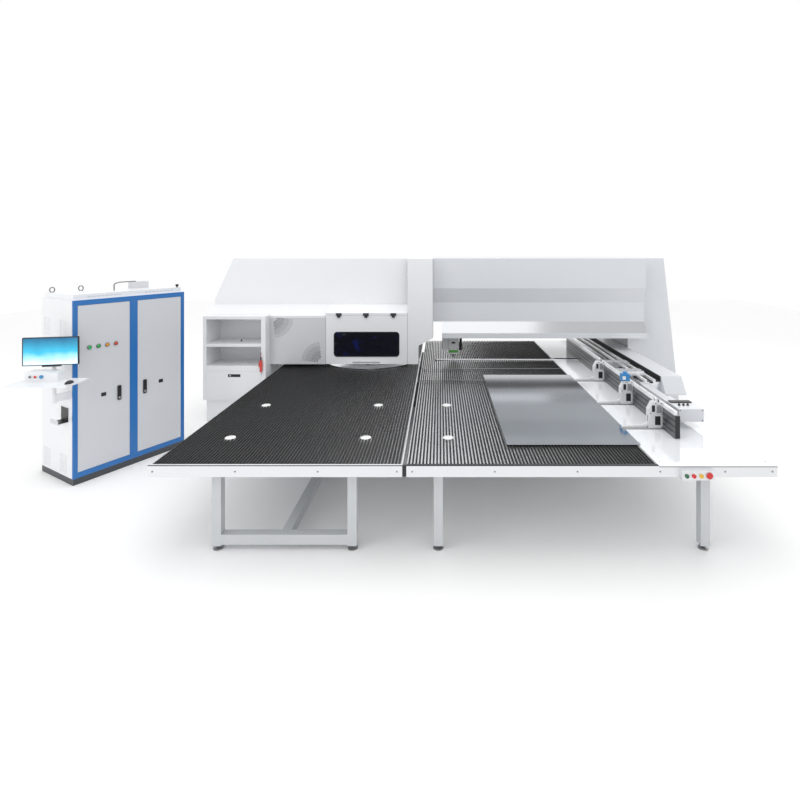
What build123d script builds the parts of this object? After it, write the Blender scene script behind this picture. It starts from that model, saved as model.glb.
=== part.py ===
"""Punch and laser combination machine with sheet tables, feed unit and electrical cabinets.

The frame origin is on the floor under the turret axis. +X runs along the bridge, -Y is the
operator's side and +Z is up. All sizes are in millimetres.
"""
from build123d import *
from math import cos, radians, sin
import os

os.makedirs("parts", exist_ok=True)

# Tables
table_top = 800.0
table_front = -4062.0
table_back = 1500.0
left_table_left = -1343.0
left_table_right = 816.0
right_table_left = 851.0
brush_right = 2990.0
deck_right = 3993.0
deck_drop = 4.0
deck_thickness = 6.0
bed_thickness = 5.0
brush_length = 25.0
brush_width = 14.0
brush_pitch = 30.0
rail_thickness = 40.0
rail_height = 93.0
rail_top_drop = 8.0
beam_height = 90.0
leg_width = 80.0
leg_front = -3940.0
leg_back = -1000.0
left_leg_places = (-813.0, 369.0)
right_leg_places = (1121.0, 3450.0)
low_rail_bottom = 52.0
low_rail_height = 87.0
foot_radius = 45.0
foot_height = 40.0
slot_front = -180.0
slot_back = -30.0
ball_ring_radius = 50.0
ball_radius = 12.0
ball_places = [(x, y) for x in (-905, 415, 1215) for y in (-3440, -2460)]

# Turret, ram and machine frame
turret_radius = 590.0
turret_thickness = 98.0
ring_inner = 600.0
ring_outer = 780.0
ring_thickness = 20.0
ring_gap = 5.0
upper_turret_bottom = 1000.0
upper_turret_thickness = 150.0
shaft_radius = 90.0
station_count = 16
station_radius = 500.0
half_station = 180 / station_count
index_depth = 16.0
index_width = 34.0
guide_rise = 24.0
tool_rise = 40.0
striker_radius = 20.0
ram_clear = 60.0
tool_radius = 32.0
ram_x = 500.0
ram_radius = 45.0
frame_bottom = 60.0
base_top = 690.0
frame_left = -2200.0
column_right = -900.0
right_column_left = 4300.0
frame_right = 4750.0
beam_front = 100.0
frame_back = 900.0
upper_beam_bottom = 1450.0
beam_headroom = 109.0
foot_pad_radius = 70.0

# Covers
sheet = 4.0
cover_front = -635.0
cover_bottom = 835.0
panel_left = -1499.0
panel_top = 1585.0
door_half = 632.0
door_bottom = 838.0
door_top = 1590.0
door_depth = 22.0
window_half = 499.0
window_bottom = 957.0
window_top = 1327.0
window_corner = 45.0
hinge_z = 1593.0
hood_lip = 32.0
cover_back = 1000.0
upper_left = -2569.0
upper_left_top = -2261.0
upper_front = -151.0
upper_crease = 1708.0
upper_slope_start = 1776.0
upper_top = 2459.0
upper_beam_top = upper_top - beam_headroom
corner_right = 1028.0
bridge_rise = 7.0
bridge_top = upper_top + bridge_rise
bridge_front = -400.0
bridge_recess = -324.0
bridge_bottom = 1448.0
bridge_fold_low = 1756.0
bridge_fold_high = 1989.0
bridge_right = 4423.0
lip_left = 1168.0
lip_bottom = 1200.0
lip_top = 1280.0
lip_front = -453.0
lip_depth = 80.0
bevel_edge = -423.0
end_left = 4229.0
end_top_right = 4817.0
end_foot_right = 5080.0
cover_clear = 0.3
bearing_gap = 0.05

# Tool cabinet
tool_left = -2444.0
tool_right = -1499.0
tool_front = -816.0
tool_back = -307.0
tool_bottom = 338.0
tool_top = 1599.0

# Feed unit
sheet_left = 1760.0
sheet_width = 1250.0
sheet_length = 2500.0
sheet_front = -3640.0
sheet_thickness = 2.0
feed_gap = 0.3
beam_left = 3400.0
beam_width = 50.0
beam_top = 1020.0
beam_near = -3490.0
beam_far = 560.0
clamp_places = (-3190.0, -2417.0, -1417.0)
clamp_width = 70.0
clamp_left = 3262.0
clamp_top = 1066.0
guide_left = 3680.0
guide_bed_right = 3950.0
guide_right = 4210.0
guide_near = -1974.0
guide_far = 2200.0
guide_bed_top = 930.0
guide_top = 1000.0

# Electrical cabinets
cabinet_corner = (-2926.0, -2788.0)
cabinet_turn = 60.0
cabinet_width = 1290.0
cabinet_depth = 747.0
cabinet_height = 2050.0
plinth_height = 70.0
cabinet_border = 45.0
cabinet_post = 90.0
cabinet_door_thickness = 20.0

cabinet = Plane(
    origin=(cabinet_corner[0], cabinet_corner[1], 0),
    x_dir=(cos(radians(cabinet_turn)), sin(radians(cabinet_turn)), 0),
    z_dir=(0, 0, 1),
)


def block(x0, x1, y0, y1, z0, z1, mode=Mode.ADD, base=Plane.XY):
    """A rectangular length of plate or tube between two corners, on the given base plane."""
    with BuildSketch(base.offset(z0)) as outline:
        with Locations(((x0 + x1) / 2, (y0 + y1) / 2)):
            Rectangle(x1 - x0, y1 - y0)
    extrude(outline.sketch, amount=z1 - z0, mode=mode)


def prism(plane, points, depth, mode=Mode.ADD):
    """A folded outline extruded along the plane's normal."""
    with BuildSketch(plane) as outline:
        with BuildLine():
            Polyline(*points, close=True)
        make_face()
    extrude(outline.sketch, amount=depth, mode=mode)


def rod(plane, radius, depth, mode=Mode.ADD):
    """A round bar from the plane's origin along its normal."""
    with BuildSketch(plane) as outline:
        Circle(radius)
    extrude(outline.sketch, amount=depth, mode=mode)


def facing(x, y, z, normal=(0, -1, 0), across=(1, 0, 0)):
    """A plane at a point whose normal looks out of a face."""
    return Plane(origin=(x, y, z), x_dir=across, z_dir=normal)


# Welded frames under the tables
brush_bottom = table_top - brush_length
deck_top = table_top - deck_drop
bed_bottom = brush_bottom - bed_thickness
frame_top = bed_bottom
frame_low = frame_top - beam_height


def table_frame(leg_places, left, right, spine):
    """Two legs at each end, beams along the legs, cross rails and low rails."""
    half = leg_width / 2
    front = table_front + rail_thickness
    for x in leg_places:
        block(x - half, x + half, front, leg_back, frame_low, frame_top)
        for y in (leg_front, leg_back - leg_width):
            block(x - half, x + half, y, y + leg_width, foot_height, frame_low)
    for y in (front, leg_back - leg_width):
        block(left, right, y, y + 60, frame_low, frame_top)
    if spine:
        middle = sum(leg_places) / 2
        for y in (leg_front, leg_back - leg_width):
            block(leg_places[0], leg_places[1], y, y + leg_width,
                  low_rail_bottom, low_rail_bottom + low_rail_height)
        block(middle - half, middle + half, leg_front, leg_back,
              low_rail_bottom, low_rail_bottom + low_rail_height)


with BuildPart() as left_table_frame:
    table_frame(left_leg_places, left_table_left, left_table_right, True)
left_table_frame.part.label = "left_table_frame"
export_step(left_table_frame.part, "parts/left_table_frame.step")

with BuildPart() as right_table_frame:
    table_frame(right_leg_places, right_table_left, deck_right, False)
right_table_frame.part.label = "right_table_frame"
export_step(right_table_frame.part, "parts/right_table_frame.step")

# Screwed levelling feet under every leg
with BuildPart() as levelling_feet:
    for x in left_leg_places + right_leg_places:
        for y in (leg_front, leg_back - leg_width):
            with BuildSketch(facing(x, y + leg_width / 2, 0)) as foot:
                with BuildLine():
                    Polyline((0, 0), (foot_radius, 0), (foot_radius, 8), (12, 18), (12, foot_height),
                             (0, foot_height), close=True)
                make_face()
            revolve(foot.sketch, axis=Axis((x, y + leg_width / 2, 0), (0, 0, 1)))
levelling_feet.part.label = "levelling_feet"
export_step(levelling_feet.part, "parts/levelling_feet.step")


# Brush tables: a sheet bed with rows of bristle strips along Y
def brush_rows(left, right):
    count = int((right - left) // brush_pitch)
    start = (left + right - (count - 1) * brush_pitch) / 2
    return [start + i * brush_pitch for i in range(count)]


def bed_outline(left, right, back_left):
    """The rectangle of a table, stepped round the left cover."""
    with Locations(((left + right) / 2, (bed_front + bed_step) / 2)):
        Rectangle(right - left, bed_step - bed_front)
    with Locations(((back_left + right) / 2, (bed_step + table_back) / 2)):
        Rectangle(right - back_left, table_back - bed_step)


def table_cutouts():
    """The openings for the turret ring, the ball units and the cross rail's slot."""
    Circle(ring_outer + ring_gap, mode=Mode.SUBTRACT)
    with Locations(*ball_places):
        Circle(ball_ring_radius + 1, mode=Mode.SUBTRACT)
    with Locations(((slot_left + deck_right) / 2, (slot_front + slot_back) / 2)):
        Rectangle(deck_right - slot_left, slot_back - slot_front, mode=Mode.SUBTRACT)


bed_front = table_front + rail_thickness
bed_step = upper_front - 102
bed_back_left = column_right + 50
slot_left = right_table_left + 200
with BuildPart() as bed_plates:
    with BuildSketch(Plane.XY.offset(bed_bottom)) as bed:
        bed_outline(left_table_left, left_table_right, bed_back_left)
        bed_outline(right_table_left, brush_right, right_table_left)
        table_cutouts()
    extrude(bed.sketch, amount=bed_thickness)
bed_plates.part.label = "bed_plates"
export_step(bed_plates.part, "parts/bed_plates.step")

with BuildPart() as brush_strips:
    with BuildSketch(Plane.XY.offset(brush_bottom)) as rows:
        for x in brush_rows(left_table_left, left_table_right) + brush_rows(right_table_left, brush_right):
            back = table_back if x > bed_back_left + brush_width else bed_step
            with Locations((x, (bed_front + back) / 2)):
                Rectangle(brush_width, back - bed_front)
        table_cutouts()
    extrude(rows.sketch, amount=deck_top - brush_bottom)
brush_strips.part.label = "brush_strips"
export_step(brush_strips.part, "parts/brush_strips.step")

# Polished deck plate beside the right brush table, notched round the feed guide
with BuildPart() as deck_plate:
    block(brush_right, deck_right, table_front, table_back, deck_top - deck_thickness, deck_top)
    block(brush_right, deck_right, table_front + rail_thickness, table_back,
          bed_bottom, deck_top - deck_thickness)
    block(brush_right + 60, deck_right - 60, table_front + rail_thickness + 60, table_back - 60,
          bed_bottom, deck_top - deck_thickness, Mode.SUBTRACT)
    block(brush_right, deck_right, slot_front, slot_back, bed_bottom, deck_top, Mode.SUBTRACT)
    block(brush_right, brush_right + 60, slot_front - 40, slot_front, bed_bottom, deck_top - deck_thickness)
    block(deck_right - 60, deck_right, slot_front - 40, slot_front, bed_bottom, deck_top - deck_thickness)
deck_plate.part.label = "deck_plate"
export_step(deck_plate.part, "parts/deck_plate.step")

# Aluminium front rails with a long groove, and the black bar over the right one
rail_high = table_top - rail_top_drop
rail_low = rail_high - rail_height


def front_rail(left, right):
    block(left, right, table_front, table_front + rail_thickness, rail_low, rail_high)
    for z in (rail_low + 26, rail_high - 34):
        block(left, right, table_front + rail_thickness - 10, table_front + rail_thickness, z, z + 8,
              Mode.SUBTRACT)


with BuildPart() as front_rails:
    front_rail(left_table_left, left_table_right)
    front_rail(right_table_left, deck_right)
    block(brush_right, deck_right, table_front, table_front + rail_thickness,
          deck_top - deck_thickness, rail_high, Mode.SUBTRACT)
front_rails.part.label = "front_rails"
export_step(front_rails.part, "parts/front_rails.step")

# Ball transfer units set in the brush beds: a domed housing and its ball
ball_bore = ball_radius + 0.1
ball_rise = brush_length + bed_thickness - 2
ball_rim = ball_rise - 5
ball_seat = brush_length + bed_thickness - 2 * ball_radius
with BuildPart() as ball_transfers:
    for x, y in ball_places:
        with BuildSketch(facing(x, y, bed_bottom)) as housing:
            with BuildLine():
                Polyline((0, 0), (ball_ring_radius, 0), (ball_ring_radius, ball_rim),
                         (ball_radius + 6, ball_rise), (ball_bore, ball_rise), (ball_bore, ball_seat),
                         (0, ball_seat), close=True)
            make_face()
        revolve(housing.sketch, axis=Axis((x, y, 0), (0, 0, 1)))
    for x, y in ball_places:
        with Locations((x, y, table_top - ball_radius)):
            Sphere(ball_radius)
ball_transfers.part.label = "ball_transfers"
export_step(ball_transfers.part, "parts/ball_transfers.step")

# Machine frame: a box-section bridge frame of base, two columns and an upper beam
with BuildPart() as machine_frame:
    block(frame_left, frame_right, upper_front + 20, frame_back, frame_bottom, base_top)
    for y in (60, 700):
        block(column_right + 60, -ring_outer - 20, y, y + 60, base_top, bed_bottom)
        block(right_table_left + 20, deck_right - 100, y, y + 60, base_top, bed_bottom)
    for x in (frame_left + 150, 0, 1500, frame_right - 150):
        for y in (0, frame_back - 100):
            rod(Plane(origin=(x, y, 0)), foot_pad_radius, frame_bottom)
    block(frame_left, column_right, beam_front, frame_back, base_top, upper_beam_bottom)
    block(right_column_left, frame_right, beam_front, frame_back, base_top, upper_beam_bottom)
    block(frame_left, frame_right, beam_front, frame_back, upper_beam_bottom, upper_beam_top)
    block(-200, 200, -200, beam_front, upper_beam_bottom - 100, upper_beam_bottom + 150)
    rod(Plane.XY.offset(upper_beam_bottom - 101), shaft_radius + bearing_gap, 101, Mode.SUBTRACT)
    for x, top in ((-1700, upper_top - sheet), (0, upper_top - sheet), (830, bridge_top - sheet),
                   (1800, bridge_top - sheet), (3600, bridge_top - sheet), (4600, bridge_top - 2 * sheet)):
        block(x - 40, x + 40, 300, 700, upper_beam_top, top)
    block(frame_left - 40, frame_left, 300, 700, 1000, 1060)
    block(upper_left + 100 + sheet, frame_left, 460, 540, 1000, 1060)
    block(4460, 4540, upper_front + sheet, beam_front, 1600, 1660)
machine_frame.part.label = "machine_frame"
export_step(machine_frame.part, "parts/machine_frame.step")

# Turret: two discs on one axis that index together, with the stations' tools in the upper one
lower_turret_top = table_top - 2
stations = [(station_radius * cos(radians(360 / station_count * i)),
             station_radius * sin(radians(360 / station_count * i))) for i in range(station_count)]
with BuildPart() as lower_turret:
    rod(Plane.XY.offset(lower_turret_top - turret_thickness), turret_radius, turret_thickness)
    rod(Plane.XY.offset(base_top + feed_gap), shaft_radius, lower_turret_top - turret_thickness - base_top)
    with Locations(*[Location((x, y, lower_turret_top)) for x, y in stations]):
        Cylinder(tool_radius, 30, align=(Align.CENTER, Align.CENTER, Align.MAX), mode=Mode.SUBTRACT)
    with BuildSketch(Plane.XY.offset(lower_turret_top - turret_thickness)) as notches:
        with PolarLocations(turret_radius, station_count, start_angle=half_station):
            Rectangle(index_depth * 2, index_width)
    extrude(notches.sketch, amount=turret_thickness / 2, mode=Mode.SUBTRACT)
lower_turret.part.label = "lower_turret"
export_step(lower_turret.part, "parts/lower_turret.step")

with BuildPart() as upper_turret:
    rod(Plane.XY.offset(upper_turret_bottom), turret_radius, upper_turret_thickness)
    with BuildSketch(Plane.XY.offset(upper_turret_bottom)) as notches:
        with PolarLocations(turret_radius, station_count, start_angle=half_station):
            Rectangle(index_depth * 2, index_width)
    extrude(notches.sketch, amount=upper_turret_thickness / 2, mode=Mode.SUBTRACT)
    rod(Plane.XY.offset(upper_turret_bottom + upper_turret_thickness), shaft_radius,
        upper_beam_bottom - upper_turret_bottom - upper_turret_thickness - feed_gap)
    for x, y in stations:
        tool_top_plane = Plane(origin=(x, y, upper_turret_bottom + upper_turret_thickness))
        rod(tool_top_plane, tool_radius, guide_rise)
        rod(tool_top_plane, striker_radius, tool_rise)
upper_turret.part.label = "upper_turret"
export_step(upper_turret.part, "parts/upper_turret.step")

with BuildPart() as turret_ring:
    with BuildSketch(Plane.XY.offset(table_top - 1 - ring_thickness)) as ring:
        Circle(ring_outer)
        Circle(ring_inner, mode=Mode.SUBTRACT)
    extrude(ring.sketch, amount=ring_thickness)
    for x, y in ((-690, -60), (690, -60), (-560, 400), (560, 400)):
        rod(Plane(origin=(x, y, base_top)), 30, table_top - 1 - ring_thickness - base_top)
turret_ring.part.label = "turret_ring"
export_step(turret_ring.part, "parts/turret_ring.step")

# Ram and its hydraulic head, hung on the upper beam
head_half = 130.0
head_front = -120.0
head_bottom = upper_beam_bottom - 60
head_top = head_bottom + 300
head_flange = 98.0
head_cylinder = 85.0
cylinder_height = 320.0
with BuildPart() as ram_head:
    block(ram_x - head_half, ram_x + head_half, head_front, beam_front, head_bottom, head_top)
    rod(Plane(origin=(ram_x, 0, head_top)), head_flange, 30)
    rod(Plane(origin=(ram_x, 0, head_top)), head_cylinder, cylinder_height)
    rod(Plane(origin=(ram_x, 0, head_top + cylinder_height)), head_flange, 40)
    rod(Plane(origin=(ram_x, 0, head_bottom)), ram_radius + bearing_gap, 160, Mode.SUBTRACT)
ram_head.part.label = "ram_head"
export_step(ram_head.part, "parts/ram_head.step")

ram_bottom = upper_turret_bottom + upper_turret_thickness + tool_rise + ram_clear
with BuildPart() as ram:
    rod(Plane(origin=(ram_x, 0, ram_bottom)), ram_radius, upper_beam_bottom + 60 - ram_bottom)
ram.part.label = "ram"
export_step(ram.part, "parts/ram.step")

# Folded covers
with BuildPart() as upper_cover:
    outer = ((cover_front, panel_top), (upper_front, upper_crease), (upper_front, upper_top),
             (cover_back, upper_top), (cover_back, panel_top - 30), (cover_front, panel_top - 30))
    inner = ((cover_front + sheet, panel_top - sheet), (upper_front + sheet, upper_crease - sheet),
             (upper_front + sheet, upper_top - sheet), (cover_back - sheet, upper_top - sheet),
             (cover_back - sheet, panel_top - 40), (cover_front + sheet, panel_top - 40))
    end = Plane(origin=(upper_left, 0, 0), x_dir=(0, 1, 0), z_dir=(1, 0, 0))
    prism(end, outer, door_half + 2 - upper_left)
    prism(end.offset(sheet), inner, door_half + 2 - upper_left, Mode.SUBTRACT)
    shear = Plane(origin=(0, -1000, 0), x_dir=(1, 0, 0), z_dir=(0, -1, 0))
    prism(shear, ((upper_left - 5, upper_slope_start), (upper_left_top, upper_top + 5),
                  (upper_left - 5, upper_top + 5)), -2500, Mode.SUBTRACT)
    block(-door_half, door_half + 5, cover_front - 5, upper_front - 60, panel_top - 45, upper_crease + 5,
          Mode.SUBTRACT)
    block(upper_left - 1, panel_left, cover_front - 1, tool_back + 1, panel_top - 45, tool_top + 1,
          Mode.SUBTRACT)
    slope = Plane(origin=(0, upper_front + sheet, 0), x_dir=(1, 0, 0), z_dir=(0, -1, 0))
    lean = (upper_left_top - upper_left) / (upper_top - upper_slope_start)
    low_z = upper_slope_start + 10
    low_x = upper_left + 10 * lean
    high_z = upper_top - sheet
    high_x = upper_left_top - sheet * lean
    prism(slope, ((low_x, low_z), (high_x, high_z), (high_x + 5, high_z), (low_x + 5, low_z)),
          upper_front - cover_back + 2 * sheet)
upper_cover.part.label = "upper_cover"
export_step(upper_cover.part, "parts/upper_cover.step")

hood_top = upper_crease + 8
hood_crest = cover_front + 310
with BuildPart() as door_hood:
    side = Plane(origin=(-door_half + cover_clear, 0, 0), x_dir=(0, 1, 0), z_dir=(1, 0, 0))
    prism(side, ((cover_front, hinge_z), (cover_front, hinge_z + hood_lip), (hood_crest, hood_top),
                 (upper_front, hood_top), (upper_front, hood_top - sheet), (hood_crest + 1, hood_top - sheet),
                 (cover_front + sheet, hinge_z + hood_lip - 2), (cover_front + sheet, hinge_z)),
          2 * door_half - 2 * cover_clear)
door_hood.part.label = "door_hood"
export_step(door_hood.part, "parts/door_hood.step")

with BuildPart() as front_panel:
    block(panel_left, -door_half - 2, cover_front, cover_front + 40, cover_bottom, panel_top - 30)
    block(panel_left + sheet, -door_half - 2 - sheet, cover_front + sheet, cover_front + 41,
          cover_bottom + sheet, panel_top - 30 - sheet, Mode.SUBTRACT)
front_panel.part.label = "front_panel"
export_step(front_panel.part, "parts/front_panel.step")

corner_left = door_half + 2
corner_mid = 802.0
corner_step = 1120.0
corner_notch = 1237.0
with BuildPart() as corner_cover:
    face = Plane(origin=(0, cover_front, 0), x_dir=(1, 0, 0), z_dir=(0, -1, 0))
    prism(face, ((corner_left, cover_bottom), (corner_mid, cover_bottom), (corner_mid, corner_step),
                 (corner_right, corner_notch), (corner_right, bridge_top), (corner_left, bridge_top)),
          cover_front - cover_back)
    prism(face.offset(-sheet), ((corner_left + sheet, cover_bottom - 1),
                                (corner_mid - sheet, cover_bottom - 1),
                                (corner_mid - sheet, corner_step + sheet / 2),
                                (corner_right - sheet, corner_notch + sheet / 2),
                                (corner_right - sheet, bridge_top - sheet),
                                (corner_left + sheet, bridge_top - sheet)),
          cover_front - cover_back, Mode.SUBTRACT)
    block(corner_left - 1, corner_left + sheet, upper_front + sheet, cover_back + 1, cover_bottom - 1,
          upper_top - sheet, Mode.SUBTRACT)
    block(corner_left - 1, corner_right + 1, upper_front - 100, cover_back + 1, cover_bottom - 1,
          bridge_top - sheet, Mode.SUBTRACT)
corner_cover.part.label = "corner_cover"
export_step(corner_cover.part, "parts/corner_cover.step")

with BuildPart() as bridge_cover:
    across = Plane(origin=(corner_right + cover_clear, 0, 0), x_dir=(0, 1, 0), z_dir=(1, 0, 0))
    prism(across, ((bridge_front, bridge_fold_high), (bridge_front, bridge_top), (cover_back, bridge_top),
                   (cover_back, bridge_bottom),
                   (cover_back - sheet, bridge_bottom), (cover_back - sheet, bridge_top - sheet),
                   (bridge_front + sheet, bridge_top - sheet), (bridge_front + sheet, bridge_fold_high),
                   (bridge_recess + sheet, bridge_fold_low),
                   (bridge_recess + sheet, bridge_bottom), (bridge_recess, bridge_bottom),
                   (bridge_recess, bridge_fold_low)),
          bridge_right - corner_right - cover_clear)
    prism(across.offset(bridge_right - corner_right - cover_clear - sheet),
          ((bridge_front + sheet, bridge_fold_high), (bridge_front + sheet, bridge_top - sheet),
           (upper_front - 1, bridge_top - sheet),
           (upper_front - 1, bridge_bottom), (bridge_recess + sheet, bridge_bottom),
           (bridge_recess + sheet, bridge_fold_low)), sheet)
    block(lip_left, bridge_right, lip_front, lip_front + lip_depth, lip_bottom, lip_top)
    block(lip_left + sheet, bridge_right - sheet, lip_front + sheet, lip_front + lip_depth - sheet,
          lip_bottom + sheet, lip_top - sheet, Mode.SUBTRACT)
bridge_cover.part.label = "bridge_cover"
export_step(bridge_cover.part, "parts/bridge_cover.step")

with BuildPart() as bridge_bevel:
    low = Plane(origin=(lip_left, 0, 0), x_dir=(0, 1, 0), z_dir=(1, 0, 0))
    prism(low, ((bridge_recess, bridge_bottom), (bridge_recess + sheet, bridge_bottom),
                (bevel_edge + sheet, lip_top), (bevel_edge, lip_top)), bridge_right - lip_left)
bridge_bevel.part.label = "bridge_bevel"
export_step(bridge_bevel.part, "parts/bridge_bevel.step")

with BuildPart() as end_cover:
    face = Plane(origin=(0, upper_front, 0), x_dir=(1, 0, 0), z_dir=(0, -1, 0))
    prism(face, ((end_left, 20), (end_foot_right, 20), (end_top_right, bridge_top - sheet),
                 (end_left, bridge_top - sheet)), upper_front - cover_back + 2 * sheet)
    prism(face.offset(-sheet), ((end_left + sheet, 19), (end_foot_right - sheet, 19),
                                (end_top_right - sheet, bridge_top - 2 * sheet),
                                (end_left + sheet, bridge_top - 2 * sheet)),
          upper_front - cover_back, Mode.SUBTRACT)
    block(end_left - 1, end_left + sheet + 1, upper_front + sheet, cover_back + 1, upper_beam_bottom - 2,
          bridge_top, Mode.SUBTRACT)
    block(end_left - 1, end_left + sheet + 1, upper_front + sheet, cover_back + 1, 19, base_top + 2,
          Mode.SUBTRACT)
end_cover.part.label = "end_cover"
export_step(end_cover.part, "parts/end_cover.step")

left_cover_right = column_right + 20
with BuildPart() as left_cover:
    block(upper_left + 100, left_cover_right, upper_front - 100, cover_back, 20, panel_top - 42)
    block(upper_left + 100 + sheet, left_cover_right + 1, upper_front - 100 + sheet, cover_back + 1,
          19, panel_top - 41, Mode.SUBTRACT)
left_cover.part.label = "left_cover"
export_step(left_cover.part, "parts/left_cover.step")

# Punch chamber door, hinged along its top, with a dark window and a bar handle
door_plane = facing(0, cover_front, 0)
with BuildPart() as punch_door:
    block(-door_half + 1, door_half - 1, cover_front, cover_front + door_depth, door_bottom, door_top)
    block(-door_half + 1 + sheet, door_half - 1 - sheet, cover_front + sheet, cover_front + door_depth + 1,
          door_bottom + sheet, door_top - sheet, Mode.SUBTRACT)
    block(-window_half - 30, window_half + 30, cover_front + sheet, cover_front + door_depth,
          window_bottom - 30, window_top + 30)
    with BuildSketch(door_plane.offset(1)) as window:
        with Locations((0, (window_bottom + window_top) / 2)):
            RectangleRounded(2 * window_half, window_top - window_bottom, window_corner)
    extrude(window.sketch, amount=-door_depth - 2, mode=Mode.SUBTRACT)
punch_door.part.label = "punch_door"
export_step(punch_door.part, "parts/punch_door.step")

with BuildPart() as door_window:
    with BuildSketch(door_plane.offset(-3)) as pane:
        with Locations((0, (window_bottom + window_top) / 2)):
            RectangleRounded(2 * window_half, window_top - window_bottom, window_corner)
    extrude(pane.sketch, amount=-6)
door_window.part.label = "door_window"
export_step(door_window.part, "parts/door_window.step")

handle_z = 874.0
handle_reach = 48.0
with BuildPart() as door_handle:
    rod(Plane(origin=(-210, cover_front - handle_reach, handle_z), z_dir=(1, 0, 0)), 9, 420)
    for x in (-120, 120):
        rod(facing(x, cover_front, handle_z), 7, handle_reach)
door_handle.part.label = "door_handle"
export_step(door_handle.part, "parts/door_handle.step")

hinge_places = (-430.0, -10.0, 414.0)
hinge_half = 44.0
knuckle = 20.0
knuckle_radius = 8.0
hinge_pin = 4.0
leaf_half = hinge_half - knuckle
hinge_y = cover_front - 10
with BuildPart() as hinge_frames:
    for x in hinge_places:
        block(x - hinge_half, x + hinge_half, cover_front - 6, cover_front, hinge_z + 9, hinge_z + hood_lip)
        for side_x in (x - hinge_half, x + leaf_half):
            rod(Plane(origin=(side_x, hinge_y, hinge_z), z_dir=(1, 0, 0)), knuckle_radius, knuckle)
            block(side_x, side_x + knuckle, hinge_y - knuckle_radius, cover_front, hinge_z, hinge_z + 9)
        rod(Plane(origin=(x - leaf_half, hinge_y, hinge_z), z_dir=(1, 0, 0)), hinge_pin, 2 * leaf_half)
hinge_frames.part.label = "hinge_frames"
export_step(hinge_frames.part, "parts/hinge_frames.step")

with BuildPart() as hinge_leaves:
    for x in hinge_places:
        left = x - leaf_half + cover_clear
        right = x + leaf_half - cover_clear
        rod(Plane(origin=(left, hinge_y, hinge_z), z_dir=(1, 0, 0)), knuckle_radius, right - left)
        block(left, right, hinge_y - knuckle_radius, cover_front, hinge_z - 36, hinge_z - 3)
        rod(Plane(origin=(x - leaf_half, hinge_y, hinge_z), z_dir=(1, 0, 0)), hinge_pin + bearing_gap,
            2 * leaf_half, Mode.SUBTRACT)
hinge_leaves.part.label = "hinge_leaves"
export_step(hinge_leaves.part, "parts/hinge_leaves.step")

# Laser cutting head on its vertical slide
laser_x = 1360.0
laser_half = 90.0
laser_slide_low = 960.0
laser_bottom = 870.0
laser_top = 1320.0
laser_front = -70.0
slide_front = 60.0
slide_half = 70.0
laser_box_left = 1173.0
laser_box_low = 941.0
laser_box_high = 1200.0
with BuildPart() as laser_slide:
    with BuildSketch(Plane.XY.offset(laser_slide_low)) as profile:
        with Locations((laser_x, (slide_front + beam_front) / 2)):
            Rectangle(2 * slide_half, beam_front - slide_front)
        for side in (-1, 1):
            with Locations((laser_x + side * (slide_half - 5), (slide_front + beam_front) / 2)):
                Rectangle(10, 12, mode=Mode.SUBTRACT)
    extrude(profile.sketch, amount=upper_beam_bottom + 300 - laser_slide_low)
laser_slide.part.label = "laser_slide"
export_step(laser_slide.part, "parts/laser_slide.step")

with BuildPart() as laser_housing:
    with BuildSketch(Plane.XY.offset(laser_bottom)) as outline:
        with Locations((laser_x, (laser_front + slide_front - feed_gap) / 2)):
            Rectangle(2 * laser_half, slide_front - feed_gap - laser_front)
        chamfer(outline.vertices().group_by(Axis.Y)[0], 12)
    extrude(outline.sketch, amount=laser_top - laser_bottom)
    block(laser_box_left, laser_x - laser_half, -50, 50, laser_box_low, laser_box_high)
    block(laser_x - laser_half + 20, laser_x + laser_half - 20, laser_front + 20, slide_front - 30,
          laser_top, laser_top + 60)
laser_housing.part.label = "laser_housing"
export_step(laser_housing.part, "parts/laser_housing.step")

with BuildPart() as laser_nozzle:
    with BuildSketch(Plane.XZ) as nozzle:
        with BuildLine():
            Polyline((laser_x, 806), (laser_x + 6, 806), (laser_x + 14, 826), (laser_x + 34, 834),
                     (laser_x + 34, 858), (laser_x + 26, laser_bottom), (laser_x, laser_bottom), close=True)
        make_face()
    revolve(nozzle.sketch, axis=Axis((laser_x, 0, 0), (0, 0, 1)))
laser_nozzle.part.label = "laser_nozzle"
export_step(laser_nozzle.part, "parts/laser_nozzle.step")

# Tool cabinet on its pedestal, with one drawer
drawer_bottom = 389.0
drawer_top = 773.0
shelf_gap = ((1185.0, 1555.0), (853.0, 1141.0), (drawer_bottom - feed_gap, drawer_top + 2))
with BuildPart() as tool_cabinet:
    block(tool_left, tool_right, tool_front, tool_back, tool_bottom, tool_top)
    for low, high in shelf_gap:
        block(tool_left + 50, tool_right - 68, tool_front - 1, tool_back - 20, low, high, Mode.SUBTRACT)
    block(tool_left + 44, tool_right - 41, tool_front + 26, tool_back, 0, tool_bottom)
tool_cabinet.part.label = "tool_cabinet"
export_step(tool_cabinet.part, "parts/tool_cabinet.step")

with BuildPart() as tool_drawer:
    block(tool_left + 52, tool_right - 70, tool_front - 2, tool_front + 18, drawer_bottom, drawer_top)
    block(tool_left + 60, tool_right - 78, tool_front + 18, tool_back - 40, drawer_bottom, drawer_top - 120)
    block(tool_left + 64, tool_right - 82, tool_front + 22, tool_back - 44, drawer_bottom + 4,
          drawer_top, Mode.SUBTRACT)
tool_drawer.part.label = "tool_drawer"
export_step(tool_drawer.part, "parts/tool_drawer.step")

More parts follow.
